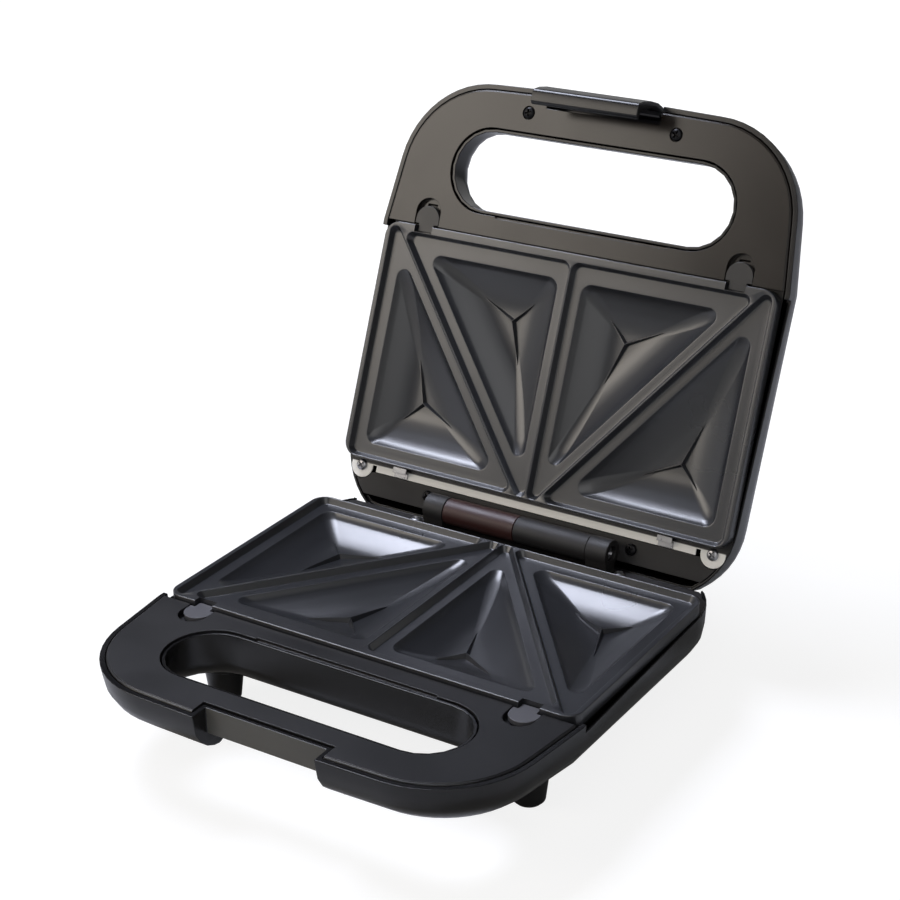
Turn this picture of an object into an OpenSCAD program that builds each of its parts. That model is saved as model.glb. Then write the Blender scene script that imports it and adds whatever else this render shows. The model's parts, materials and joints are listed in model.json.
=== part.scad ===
// Two-slice sandwich toaster with a hinged lid, removable cooking plates and a hook latch.
// Each half is drawn in half coordinates: x across, y from the plate's handle edge towards
// the hinge, z = 0 on the plate's rim and negative into the housing. The base stands as
// drawn. The lid is the mirrored half, swung open about the hinge.

/* [Cooking plates] */
// Width of one cooking plate
plate_w = 222; // [214:1:226]
// Depth of one cooking plate, handle edge to hinge edge
plate_d = 125; // [118:1:132]
// Radius of the plate's outer corners
plate_corner_r = 8; // [4:0.5:12]
// Height of the plate's outer skirt
plate_skirt = 6.6; // [6.2:0.1:6.8]
// Wall of the plate casting
plate_wall = 2.4; // [1.8:0.1:2.6]
// Rim beside the cells at the left and right
rim_side = 5; // [3:0.5:7]
// Rim beside the cells at the handle edge
rim_front = 5.5; // [4.5:0.5:7]
// Rim beside the cells at the hinge edge
rim_rear = 2.5; // [2:0.5:5]
// Depth of the flat land below the rim
land_depth = 3.3; // [2.5:0.1:3.5]
// Width of the land between a rim or rib foot and the pocket
land_w = 7.2; // [5:0.1:9]
// Width of a dividing rib at its foot
rib_foot = 6.4; // [4:0.1:7.5]
// Width of a dividing rib at its crest
rib_crest = 0.9; // [0.5:0.1:2]
// Depth of a pocket below the land
pocket_depth = 8; // [6:0.1:8.6]
// Corner radius of a pocket
pocket_r = 4.5; // [3:0.5:6]
// Height of the three-armed ridge in each pocket
ridge_h = 1.3; // [0.6:0.1:2]
// Width of the ridge where its arms meet
ridge_w = 3.6; // [2:0.1:6]
// Gap between the two plate rims when closed
plate_gap = 1; // [0.6:0.1:1.6]

/* [Housing] */
// Width of the housing at the plates' handle edge
body_w = 230.6; // [229:0.2:236]
// Width of the housing where its rear corners begin
rear_w = 224.6; // [224.2:0.2:229]
// Reach of the handle in front of the plates
handle_reach = 78.6; // [76:0.2:84]
// Reach of the base behind the plates
base_rear = 19.5; // [19:0.1:20]
// Reach of the lid behind the plates
lid_rear = 25; // [24.6:0.1:26]
// Radius of the handle's outer corners
front_r = 49; // [44:0.5:50]
// Distance of the handle corner's centre inside the housing's side
corner_inset = 52.5; // [52:0.5:56]
// Bow of the handle's front edge
front_bow = 1.1; // [0.5:0.1:2]
// Radius of the rear corners
rear_r = 42; // [38:0.5:44]
// Start of the rear corners behind the plates' handle edge
rear_start = 115; // [110:1:118]
// Depth of the housing at the handle
handle_depth = 25; // [24.6:0.1:27]
// Depth of the housing at the hinge
shell_depth = 33.5; // [32:0.1:34]
// Radius of the outer bottom edge
edge_r = 17; // [14:0.5:18]
// Draft of the side walls, mm of inset per mm of depth
draft = 0.06; // [0.02:0.01:0.08]
// Wall of the housing
shell_wall = 2.4; // [2:0.1:2.8]
// Housing rim below the plate rim around the handle
rim_drop = 2.8; // [2.6:0.1:3.2]
// Housing rim below the plate rim beside the plates
side_drop = 7; // [6.8:0.1:7.4]
// Thickness of the lip on that rim
lip_t = 1.1; // [0.9:0.1:1.4]
// Base's rear wall below the plate rim, which lets the lid lean back
rear_drop = 13; // [12.5:0.5:15]
// Distance from the handle edge of the plates to the step in the housing rim
step_y = 3; // [1:0.5:6]

/* [Handle] */
// Near edge of the hand slot, from the plates' handle edge
slot_near = 11.2; // [11:0.1:12]
// Far edge of the hand slot
slot_far = 55.6; // [52:0.2:57]
// Half length of the hand slot
slot_half = 80.4; // [70:0.2:80.4]
// Wall of the tube that lines the hand slot
slot_wall = 1.6; // [1.2:0.1:2]
// Rounding of the base's hand slot where it leaves the housing
base_slot_round = 9.5; // [6:0.5:11]
// Rounding of the lid's hand slot where it leaves the housing
lid_slot_round = 14.5; // [10:0.5:15]
// Handle cover below the plate rim
cover_sink = 2; // [1.8:0.1:2.4]
// Thickness of the handle cover
cover_t = 2.2; // [1.8:0.1:2.4]
// Distance of the cover's edge inside the housing's outline
cover_inset = 3; // [2.8:0.1:3.6]
// Gap between the cover and the plate
cover_gap = 0.6; // [0.4:0.1:1]
// Rounding of the cover's top edge
cover_edge = 0.8; // [0.4:0.1:1.2]
// Distance of the cover screws from the middle
screw_x = 41.4; // [40.4:0.2:46]
// Distance of the cover screws in front of the plates
screw_y = 65.5; // [64.5:0.1:66]

/* [Latch] */
// Half width of the base's latch recess
base_notch = 32; // [31:0.5:33]
// Half width of the lid's latch recess
lid_notch = 31.5; // [31:0.1:32]
// Face of the latch recess, in front of the plates
notch_face = 69.2; // [69:0.1:69.6]
// Underside of the grip bar that the hook catches, below the rim
grip_under = 15.5; // [15:0.1:15.6]
// Half width of the latch
latch_half = 29.5; // [24:0.5:30]
// Latch pivot in front of the plates
pivot_y = 74.5; // [74.3:0.1:74.7]
// Latch pivot above the base's rim when closed
pivot_z = 9; // [8.6:0.1:9.4]
// Radius of the latch pin
latch_pin_r = 1.25; // [1:0.05:1.5]
// Radius of the latch's barrel
latch_barrel_r = 3.4; // [3:0.1:3.6]

/* [Hinge] */
// Hinge axis behind the plates
hinge_back = 15.2; // [15:0.1:15.4]
// Hinge axis above the base's rim
hinge_rise = 1.1; // [1:0.05:1.2]
// Angle between the halves when fully open
open_angle = 112.5; // [90:0.5:113]
// Radius of the base's knuckles
knuckle_r = 7; // [6.6:0.1:7]
// Inner face of a knuckle from the middle
knuckle_in = 41.5; // [38:0.5:44]
// Width of a knuckle
knuckle_w = 11.5; // [9:0.5:13]
// Radius of the lid's hinge sleeves
sleeve_r = 6.7; // [6:0.1:6.8]
// Radius of the hinge pins
pin_r = 2; // [1.5:0.1:2.5]
// Thickness of the rear decks
deck_t = 2; // [1.6:0.1:2.4]

/* [Release buttons] */
// Distance of a release button from the middle
button_x = 88.5; // [87.5:0.5:90]
// Radius of a release button
button_r = 7; // [6:0.1:7.5]
// Travel of a release button towards the handle
button_travel = 3.5; // [3:0.1:3.8]
// Width of a button's tongue
tongue_w = 9; // [7:0.5:10]
// Reach of the tongue over the plate
tongue_reach = 3.2; // [2.6:0.1:3.4]

/* [Heating] */
// Diameter of the tubular heating element
element_d = 6.5; // [6:0.1:6.6]
// Bend radius of the element at its front corners
element_bend = 8; // [7:0.5:9]
// Thickness of the reflector sheet
reflector_t = 0.8; // [0.6:0.1:1]
// Depth of the reflector's floor below the plate rim
reflector_depth = 18; // [17:0.1:18.4]

/* [Feet] */
// Height of the base's plate rim above the table
stand_h = 53.5; // [52:0.5:58]
// Distance of the front feet from the middle
foot_x = 84.4; // [76:0.2:86]
// Distance of the rear feet from the middle
rear_foot_x = 76; // [74:0.5:78]
// Front feet behind the plates' handle edge
foot_front = 7.2; // [6:0.2:12]
// Rear feet behind the plates' handle edge
foot_rear = 124; // [122:0.5:125]
// Radius of a foot at its top
foot_top_r = 9.7; // [9:0.1:11]
// Radius of a foot at its bottom
foot_bottom_r = 7.5; // [7:0.1:9]

/* [Fits] */
// Clearance of a running pin
run_fit = 0.06; // [0.04:0.01:0.08]
// Clearance between seated pieces
seat_gap = 0.3; // [0.2:0.05:0.4]

/* [Hidden] */
$fn = 48;

eps = 0.01;
black = [0.07, 0.07, 0.075];
satin = [0.12, 0.12, 0.125];
coat = [0.2, 0.2, 0.22];
steel = [0.75, 0.75, 0.76];
cream = [0.9, 0.88, 0.82];

hinge_y = plate_d + hinge_back;
hw = body_w / 2;
base_y = plate_d + base_rear;
lid_y = plate_d + lid_rear;
front_cx = hw - corner_inset;
front_cy = front_bow + front_r - handle_reach;
slot_y = -(slot_near + slot_far) / 2;
slot_r = (slot_far - slot_near) / 2;
slot_cx = slot_half - slot_r;
tube_r = slot_r - 0.5;
deck_top = side_drop + seat_gap;
flange_top = plate_skirt + seat_gap;
element_z = -(land_depth + plate_wall + 0.2 + element_d / 2);

// Place of the open lid's rearmost point, which centres the part over its origin
open_c = cos(open_angle);
open_s = sin(open_angle);
lean_y = hinge_y + handle_reach - edge_r / 2;
lean_z = handle_depth - edge_r * (1 - sin(60)) + plate_gap - hinge_rise;
mid_y = (hinge_y - lean_y * open_c + lean_z * open_s - handle_reach) / 2;

// ---- Placing ----
module at_base() {
    translate([0, -mid_y, stand_h]) children();
}
module at_lid() {
    at_base() translate([0, hinge_y, hinge_rise]) rotate([-open_angle, 0, 0])
        translate([0, -hinge_y, -hinge_rise]) children();
}
module lid_half() {
    at_lid() translate([0, 0, plate_gap]) mirror([0, 0, 1]) children();
}
module both_sides() {
    children();
    mirror([1, 0, 0]) children();
}

// ---- Outlines ----
function arc(cx, cy, r, a0, a1, n) =
    [for (i = [0:n]) let (a = a0 + (a1 - a0) * i / n) [cx + r * cos(a), cy + r * sin(a)]];
function flip_x(pts) = [for (i = [len(pts) - 1:-1:0]) [-pts[i][0], pts[i][1]]];

// Right half of a housing's outline, inset by d, from front centre to rear centre.
// The rear corners run out at the rear wall, whose distance is ry.
function taper_a(r) = atan2(-front_cy, corner_inset - front_r + r)
    - acos(r / norm([corner_inset - front_r + r, -front_cy]));
function right_outline(d, ry) = concat(
    [for (i = [0:3]) let (x = front_cx * i / 4)
        [x, d - handle_reach + front_bow * pow(x / front_cx, 2)]],
    arc(front_cx, front_cy, front_r - d, -90, taper_a(front_r - d), 12),
    [[hw - d, 0]],
    [for (p = arc(rear_w / 2 - rear_r, rear_start, rear_r - d, 0, 84, 11))
        [p[0], min(p[1], ry - d)]],
    [[20, ry - d]]);
function outline(d, ry) = let (half = right_outline(d, ry)) concat(half, flip_x(half));

// Closed solid through rings of equally many points, lowest ring first
module skin(rings) {
    n = len(rings[0]);
    m = len(rings);
    polyhedron(
        points = [for (ring = rings) each ring],
        faces = concat(
            [[for (i = [0:n - 1]) i]],
            [for (k = [0:m - 2], i = [0:n - 1])
                [k * n + i, (k + 1) * n + i, (k + 1) * n + (i + 1) % n]],
            [for (k = [0:m - 2], i = [0:n - 1])
                [k * n + i, (k + 1) * n + (i + 1) % n, k * n + (i + 1) % n]],
            [[for (i = [n - 1:-1:0]) (m - 1) * n + i]]));
}

// Depth of the housing's floor, which falls from the handle to the hinge
function floor_depth(y) = handle_depth
    + (shell_depth - handle_depth) * (y + handle_reach - edge_r) / (base_y + handle_reach - 2 * edge_r);

// Pan with a rounded bottom edge: inset from the outline by d, floor raised by d
module pan(d, top, ry) {
    e = edge_r - d;
    steps = [90, 74, 58, 40, 20, 0];
    skin(concat(
        [for (t = steps)
            [for (p = outline(d + draft * handle_depth * (1 - 0.5 * cos(t)) + e * (1 - cos(t)), ry))
                [p[0], p[1], -(floor_depth(p[1]) - d - e * (1 - sin(t)))]]],
        [[for (p = outline(d, ry)) [p[0], p[1], top]]]));
}

module slot_shape(r) {
    translate([0, slot_y]) union() {
        translate([-slot_cx, -r]) square([2 * slot_cx, 2 * r]);
        translate([-slot_cx, 0]) circle(r);
        translate([slot_cx, 0]) circle(r);
    }
}

// Hand slot that opens with a rounded edge in the outer face, larger by w all over
function slot_ring(t, w, extra, z, round_r) =
    [for (side = [1, -1], i = [0:10])
        let (a = (side > 0 ? -90 : 90) + 18 * i, rim = round_r - w,
            r = tube_r - slot_wall + w + rim * (1 - cos(t)) + extra,
            y = slot_y + r * sin(a))
        [side * slot_cx + r * cos(a), y, z == 0 ? -(floor_depth(y) - w - rim * (1 - sin(t))) : z]];
module slot_flare(w, round_r) {
    skin(concat(
        [slot_ring(90, w, w == 0 ? 0 : 1, -100, round_r)],
        [for (t = [90, 72, 54, 34, 14, 0]) slot_ring(t, w, 0, 0, round_r)],
        [slot_ring(0, w, 0, 100, round_r)]));
}

module block(x0, x1, y0, y1, z0, z1) {
    translate([x0, y0, z0]) cube([x1 - x0, y1 - y0, z1 - z0]);
}
module post(x, y, z0, z1, r) {
    translate([x, y, z0]) cylinder(h = z1 - z0, r = r);
}
module rod_x(x0, x1, y, z, r) {
    translate([x0, y, z]) rotate([0, 90, 0]) cylinder(h = x1 - x0, r = r);
}
module rounded(w, y0, y1, r) {
    translate([0, (y0 + y1) / 2]) union() {
        square([w - 2 * r, y1 - y0], center = true);
        square([w, y1 - y0 - 2 * r], center = true);
        for (sx = [-1, 1], sy = [-1, 1])
            translate([sx * (w / 2 - r), sy * ((y1 - y0) / 2 - r)]) circle(r);
    }
}

// Pan-head screw with a cross recess, head down to z = 0 and shank below
module screw(head_r, head_h, shank_r, shank_l) {
    difference() {
        union() {
            cylinder(h = head_h, r1 = head_r, r2 = head_r * 0.72);
            translate([0, 0, -shank_l]) cylinder(h = shank_l, r = shank_r);
        }
        for (a = [0, 90])
            rotate(a) translate([-head_r * 0.5, -0.35, head_h - 0.7]) cube([head_r, 0.7, 1]);
    }
}

// Round wire wound about the z axis, from z0 up by length
module coil(radius, wire_r, turns, length) {
    per_turn = 9;
    sides = 5;
    n = turns * per_turn;
    skin([for (k = [n:-1:0])
        let (a = 360 * k / per_turn, z = length * k / n)
        [for (j = [0:sides - 1]) let (b = 360 * j / sides, r = radius + wire_r * cos(b))
            [r * cos(a), r * sin(a), z + wire_r * sin(b)]]]);
}

// ---- Housing ----
screw_post_r = 4.2;
cover_boss = 11;
lip_floor = side_drop + 2.6;
rear_cut = 100.6;
boss_y = plate_d + 4;
boss_x = plate_w / 2 - 9;
deck_screw_x = knuckle_in + knuckle_w + 6.3;
deck_screw_y = plate_d + 11.6;

// The parts that both halves' shells share, solid until the openings are cut
module shell_body(notch_half, notch_floor, post_top, ry, round_r) {
    intersection() {
        pan(0, -rim_drop, ry);
        union() {
            difference() {
                block(-body_w, body_w, -200, 400, -100, 0);
                pan(shell_wall, eps, ry);
            }
            // Tube that lines the hand slot
            slot_flare(slot_wall, round_r);
            // Walls of the latch recess
            block(-notch_half - shell_wall, notch_half + shell_wall, -handle_reach - 1,
                -notch_face + 2, -notch_floor, 0);
            // Wall between the handle and the heating chamber
            block(-hw, hw, -4.4, -2.4, -100, -flange_top - reflector_t);
            both_sides() {
                post(screw_x, -screw_y, -100, post_top, screw_post_r);
                post(boss_x, boss_y, -100, -flange_top - reflector_t, 4.5);
                post(deck_screw_x, deck_screw_y, -100, -deck_top - deck_t, 4);
                post(boss_x, -0.6, -100, -flange_top - reflector_t, 3.2);
            }
        }
    }
}
module shell_cuts(ry, round_r) {
    slot_flare(0, round_r);
    // Lower rim beside and behind the plates, with a thin lip
    block(-hw - 1, hw + 1, step_y, ry + 1, -side_drop, 1);
    intersection() {
        pan(lip_t, 1, ry);
        block(-hw - 1, hw + 1, step_y + 1.5, ry + 1, -lip_floor, 1);
    }
    both_sides() {
        post(boss_x, boss_y, -flange_top - 12, 0, 1.5 + run_fit);
        post(deck_screw_x, deck_screw_y, -deck_top - 12, 0, 1.5 + run_fit);
    }
}
inlet_x = -78;
inlet_z = -21;
inlet_r = 5;
foot_seat = -shell_depth - 1.5;
// Feet: x, y, and how far the housing's boss reaches up over the rounded edge
foot_places = [
    [foot_x, foot_front, 1.2], [-foot_x, foot_front, 1.2],
    [rear_foot_x, foot_rear, 5], [-rear_foot_x, foot_rear, 5]];

module base_shell() {
    color(black) at_base() difference() {
        union() {
            shell_body(base_notch, 100, -cover_boss - seat_gap, base_y, base_slot_round);
            // Floor and end walls of the grip bar
            intersection() {
                pan(0, -rim_drop, base_y);
                block(-base_notch - shell_wall, base_notch + shell_wall, -notch_face,
                    -slot_far + 1, -100, -grip_under + 2);
            }
            for (f = foot_places)
                post(f[0], f[1], foot_seat, -floor_depth(f[1]) + f[2], foot_top_r + 0.4);
            translate([inlet_x, base_y, inlet_z]) rotate([90, 0, 0])
                cylinder(h = 6, r = inlet_r + 2.2);
        }
        shell_cuts(base_y, base_slot_round);
        // Low rear wall behind the hinge
        block(-rear_cut, rear_cut, hinge_y + 1.2, base_y + 1, -rear_drop, 1);
        // Recess for the latch, and the grip bar's underside that its hook catches
        block(-base_notch, base_notch, -handle_reach - 5, -notch_face, -100, 1);
        block(-base_notch, base_notch, -notch_face - 1, -slot_far - 0.4, -100, -grip_under);
        block(-base_notch, base_notch, -notch_face + 2, -slot_far + 0.4, -grip_under + 2, 1);
        both_sides() {
            post(screw_x, -screw_y, -100, 0, 1.5 + run_fit);
            post(screw_x, -screw_y, -100, -handle_depth + 4, 3.6);
        }
        for (f = foot_places)
            post(f[0], f[1], -100, -floor_depth(f[1]) + 5.2, 2 + run_fit);
        translate([inlet_x, base_y + 1, inlet_z]) rotate([90, 0, 0])
            cylinder(h = 20, r = inlet_r + run_fit);
        // Air slots in the floor
        for (i = [-3:3])
            translate([i * 13, plate_d * 0.42, -100]) linear_extrude(100 - reflector_depth - 2)
                rounded(3.2, 0, 34, 1.5);
    }
}
lens_x = 15;
lens_y = 14;
lens_r = 5;
module lid_shell() {
    color(black) lid_half() difference() {
        shell_body(lid_notch, 16, -cover_sink - cover_t - seat_gap, lid_y, lid_slot_round);
        shell_cuts(lid_y, lid_slot_round);
        // Seat of the cover on the walls of the recess
        block(-lid_notch - shell_wall - 0.3, lid_notch + shell_wall + 0.3, -handle_reach + cover_inset - 0.3,
            -notch_face + 2.7, -cover_sink - cover_t - seat_gap, 1);
        // Recess that holds the latch, closed at the outer face of the lid
        block(-lid_notch, lid_notch, -handle_reach - 5, -notch_face, -14, 1);
        rod_x(-lid_notch - shell_wall + 0.3, lid_notch + shell_wall - 0.3, -pivot_y,
            plate_gap - pivot_z, latch_pin_r + run_fit);
        both_sides() {
            post(screw_x, -screw_y, -16, 0, 1.5 + run_fit);
            post(lens_x, lens_y, -100, 0, lens_r + run_fit);
        }
    }
}

// ---- Handle covers ----
well_floor = 5.2;
well_r = button_r + 0.3;
well_near = 14.8;
spring_seat = 21;
module cover_outline(d) {
    intersection() {
        polygon(outline(cover_inset + d, base_y));
        translate([-hw, -200]) square([2 * hw, 200 - cover_gap]);
    }
}
module well_shape(r, near) {
    intersection() {
        union() {
            translate([button_x, -near + r]) circle(r);
            translate([button_x - r, -near + r]) square([2 * r, near - r]);
        }
        translate([0, -50]) square([200, 50 - cover_gap]);
    }
}
module handle_cover(cut_half, cut_face) {
    difference() {
        union() {
            translate([0, 0, -cover_sink - cover_t]) linear_extrude(cover_t - cover_edge)
                cover_outline(0);
            translate([0, 0, -cover_sink - cover_edge - eps]) linear_extrude(cover_edge / 2 + eps)
                cover_outline(cover_edge * 0.3);
            translate([0, 0, -cover_sink - cover_edge / 2 - eps]) linear_extrude(cover_edge / 2 + eps)
                cover_outline(cover_edge);
            both_sides() {
                translate([0, 0, -well_floor - 1.2]) linear_extrude(well_floor + 1.2 - cover_sink - 0.1)
                    well_shape(well_r + 1.4, well_near + 1.4);
                block(button_x - 4, button_x + 4, -spring_seat - 2, -spring_seat, -14, -cover_sink - 1);
            }
        }
        translate([0, 0, -50]) linear_extrude(100) slot_shape(slot_r);
        // Stepped rear edge of the hand slot
        block(-slot_cx * 0.84, slot_cx * 0.84, -slot_near - 2, -slot_near + 1, -3.4, 0);
        block(-cut_half, cut_half, -handle_reach - 5, -cut_face, -50, 50);
        both_sides() {
            translate([0, 0, -well_floor]) linear_extrude(50) well_shape(well_r, well_near);
            block(button_x - 2.9, button_x + 2.9, -11.9, -1.6, -50, 0);
        }
    }
}
module base_cover() {
    color(satin) at_base() difference() {
        union() {
            handle_cover(base_notch + shell_wall + seat_gap, notch_face - 2.7);
            both_sides() post(screw_x, -screw_y, -cover_boss, -cover_sink - 1, 3.4);
        }
        both_sides() post(screw_x, -screw_y, -50, -cover_sink - 0.9, 1.5 + run_fit);
    }
}
module lid_cover() {
    color(satin) lid_half() difference() {
        handle_cover(lid_notch + seat_gap, notch_face - seat_gap);
        both_sides() {
            post(screw_x, -screw_y, -50, 0, 1.5 + run_fit);
            post(screw_x, -screw_y, -cover_sink - 0.9, 0, 3.4);
        }
    }
}
module base_cover_screws() {
    color(steel) at_base() both_sides() translate([screw_x, -screw_y, -handle_depth + 4])
        rotate([180, 0, 0]) screw(3, 1.8, 1.5, handle_depth - 4 - cover_sink - 1);
}
module lid_cover_screws() {
    color(satin) lid_half() both_sides() translate([screw_x, -screw_y, -cover_sink - 0.9])
        screw(3.1, 1.2, 1.5, 11);
}

// ---- Cooking plates ----
cell_x = plate_w / 2 - rim_side;
cell_y0 = rim_front;
cell_y1 = plate_d - rim_rear;
rib_front_x = cell_x - 4.4;
rib_rear_x = 8.8;
rib_a = atan2(cell_y1 - cell_y0, rib_front_x - rib_rear_x);

// Corners of the outer triangle, inset from the rims by e and from the ribs by r
function diag_y(x, off) = cell_y0 + (x + rib_front_x) * tan(rib_a) + off / cos(rib_a);
function diag_x(y, off) = -rib_front_x + (y - cell_y0 - off / cos(rib_a)) / tan(rib_a);
function outer_tri(e, r) = [
    [-cell_x + e, diag_y(-cell_x + e, r)],
    [diag_x(cell_y1 - e, r), cell_y1 - e],
    [-cell_x + e, cell_y1 - e]];
// Corners of the inner triangle, inset from the front rim by e and from the ribs by r
function inner_tri(e, r) = [
    [diag_x(cell_y0 + e, -r), cell_y0 + e],
    [-r, cell_y0 + e],
    [-r, diag_y(-r, -r)]];

function edge_len(t, i) = norm(t[(i + 1) % 3] - t[i]);
function tri_sum(t) = edge_len(t, 0) + edge_len(t, 1) + edge_len(t, 2);
function in_centre(t) =
    (t[0] * edge_len(t, 1) + t[1] * edge_len(t, 2) + t[2] * edge_len(t, 0)) / tri_sum(t);
function tri_area(t) = abs((t[1][0] - t[0][0]) * (t[2][1] - t[0][1])
    - (t[2][0] - t[0][0]) * (t[1][1] - t[0][1])) / 2;
function in_radius(t) = 2 * tri_area(t) / tri_sum(t);
function edge_normal(t, i) = let (v = t[(i + 1) % 3] - t[i]) atan2(v[1], v[0]) - 90;
function turn(a) = a - 360 * floor(a / 360);

// Triangle t inset by d with corners of radius rc, as one ring at height z
function tri_ring(t, d, rc, z, n) =
    let (c = in_centre(t), r = in_radius(t), k = 1 - d / r)
    [for (i = [0:2])
        let (v = c + (t[i] - c) * k, m = v + (c - v) * (rc / (r - d)),
            a0 = edge_normal(t, (i + 2) % 3), a1 = a0 + turn(edge_normal(t, i) - a0))
        for (j = [0:n]) let (a = a0 + (a1 - a0) * j / n)
            [m[0] + rc * cos(a), m[1] + rc * sin(a), z]];

// Cell above the land: sloped walls that leave knife-edged ribs
module cell(t_foot, t_crest) {
    skin([
        tri_ring(t_foot, 0, 2.2, -land_depth, 4),
        tri_ring(t_crest, 0, 3.4, 0, 4),
        tri_ring(t_crest, 0, 3.4, 1, 4)]);
}
// Dished pocket whose three curved facets meet along the corners' bisectors
pocket_steps = [86, 72, 56, 38, 18, 0];
module pocket(t, wall) {
    r = in_radius(t);
    skin([for (a = pocket_steps)
        tri_ring(t, r * (1 - cos(a)) * 0.98 - wall, max(pocket_r * cos(a), 0.35) + wall,
            -land_depth - (pocket_depth + wall) * sin(a) + (a == 0 ? eps - wall * 0.5 : 0), 4)]);
}
// One arm of the ridge, from the pocket's lowest point towards a corner
module ridge_arm(c, corner) {
    v = corner - c;
    u = v / norm(v);
    s = [-u[1], u[0]];
    z0 = -land_depth - pocket_depth - 0.2;
    z1 = -land_depth - pocket_depth * 0.93;
    tip = c + v * 0.36;
    function at(p, z) = [p[0], p[1], z];
    polyhedron(
        points = [
            at(c - u * ridge_w / 2 - s * ridge_w / 2, z0), at(c - u * ridge_w / 2 + s * ridge_w / 2, z0),
            at(tip + s * 0.3, z0), at(tip - s * 0.3, z0),
            at(c, z0 + ridge_h + 0.2), at(tip, z1)],
        faces = [[0, 3, 2, 1], [0, 1, 4], [1, 2, 5, 4], [0, 4, 5, 3], [2, 3, 5]]);
}
lug_t = 1.8;
pocket_tris = [
    outer_tri(land_w, rib_foot / 2 + land_w - 1),
    inner_tri(land_w, rib_foot / 2 + land_w - 1)];

module cooking_plate() {
    difference() {
        union() {
            translate([0, 0, -plate_skirt]) linear_extrude(plate_skirt - 1)
                rounded(plate_w, 0, plate_d, plate_corner_r);
            translate([0, 0, -1 - eps]) linear_extrude(0.5 + eps)
                rounded(plate_w - 0.5, 0.25, plate_d - 0.25, plate_corner_r - 0.25);
            translate([0, 0, -0.5 - eps]) linear_extrude(0.5 + eps)
                rounded(plate_w - 1.8, 0.9, plate_d - 0.9, plate_corner_r - 0.9);
            both_sides() {
                for (t = pocket_tris)
                    pocket(t, plate_wall);
                // Lugs that hook under the rear clips
                block(clip_x - 5, clip_x + 5, plate_d - 1, plate_d + 2.4, -plate_skirt, -plate_skirt + lug_t);
            }
        }
        // Hollow underside within the skirt
        difference() {
            translate([0, 0, -plate_skirt - 1]) linear_extrude(plate_skirt + 1 - land_depth - plate_wall)
                rounded(plate_w - 2 * plate_wall, plate_wall, plate_d - plate_wall, plate_corner_r - plate_wall);
            both_sides() for (t = pocket_tris)
                pocket(t, plate_wall + eps);
        }
        both_sides() {
            cell(outer_tri(0, rib_foot / 2), outer_tri(-1.2, rib_crest / 2));
            cell(inner_tri(0, rib_foot / 2), inner_tri(-1.2, rib_crest / 2));
            for (t = pocket_tris)
                pocket(t, 0);
            // Notch for the release button's tongue
            block(button_x - tongue_w / 2 - 0.8, button_x + tongue_w / 2 + 0.8,
                -1, tongue_reach + 0.5, -4.6, 1);
        }
    }
    both_sides() for (t = pocket_tris)
        for (i = [0:2])
            ridge_arm(in_centre(t), t[i]);
}
module base_plate() {
    color(coat) at_base() cooking_plate();
}
module lid_plate() {
    color(coat) lid_half() cooking_plate();
}

// ---- Rear clips, reflectors and heating elements ----
clip_x = 77;
clip_top = -plate_skirt + lug_t + seat_gap + 0.8;
module plate_clips() {
    both_sides() difference() {
        union() {
            block(clip_x - 4, clip_x + 4, plate_d + 2.7, plate_d + 3.5, -flange_top, clip_top);
            block(clip_x - 4, clip_x + 4, plate_d + 0.5, plate_d + 3.5, clip_top - 0.8, clip_top);
            block(clip_x - 4, clip_x + 4, plate_d + 2.7, plate_d + 6, -flange_top, -flange_top + 0.8);
        }
        block(clip_x - 1.5, clip_x + 1.5, plate_d + 2, plate_d + 4, -flange_top + 1.2, clip_top - 1.2);
    }
}
module base_plate_clips() {
    color(steel) at_base() plate_clips();
}
module lid_plate_clips() {
    color(steel) lid_half() plate_clips();
}

tab_r = 6.6;
tray_w = plate_w - 8;
tray_y0 = 3.4;
tray_y1 = plate_d - 3.6;
lead_y = 112;
lead_x = -diag_x(lead_y, 0);
module reflector() {
    difference() {
        union() {
            translate([0, 0, -flange_top - reflector_t]) linear_extrude(reflector_t) union() {
                rounded(plate_w - 1, -4.2, plate_d + 3, 4);
                translate([-boss_x + 9, 60]) square([2 * boss_x - 18, plate_d + 6.2 - 60]);
                both_sides() translate([boss_x, boss_y]) circle(tab_r);
            }
            translate([0, 0, -reflector_depth]) linear_extrude(reflector_depth - flange_top)
                rounded(tray_w, tray_y0, tray_y1, 9);
        }
        translate([0, 0, -reflector_depth + reflector_t]) linear_extrude(reflector_depth)
            rounded(tray_w - 2 * reflector_t, tray_y0 + reflector_t, tray_y1 - reflector_t, 9 - reflector_t);
        both_sides() {
            post(boss_x, boss_y, -50, 0, 1.5 + run_fit);
            post(lead_x, lead_y, -50, 0, element_d / 2 + seat_gap);
        }
    }
}
module reflector_screws() {
    both_sides() translate([boss_x, boss_y, -flange_top]) screw(3, 1.6, 1.5, 10);
}
module base_reflector() {
    color(cream) at_base() reflector();
}
module lid_reflector() {
    color(cream) lid_half() reflector();
}
module base_reflector_screws() {
    color(steel) at_base() reflector_screws();
}
module lid_reflector_screws() {
    color(steel) lid_half() reflector_screws();
}

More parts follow.
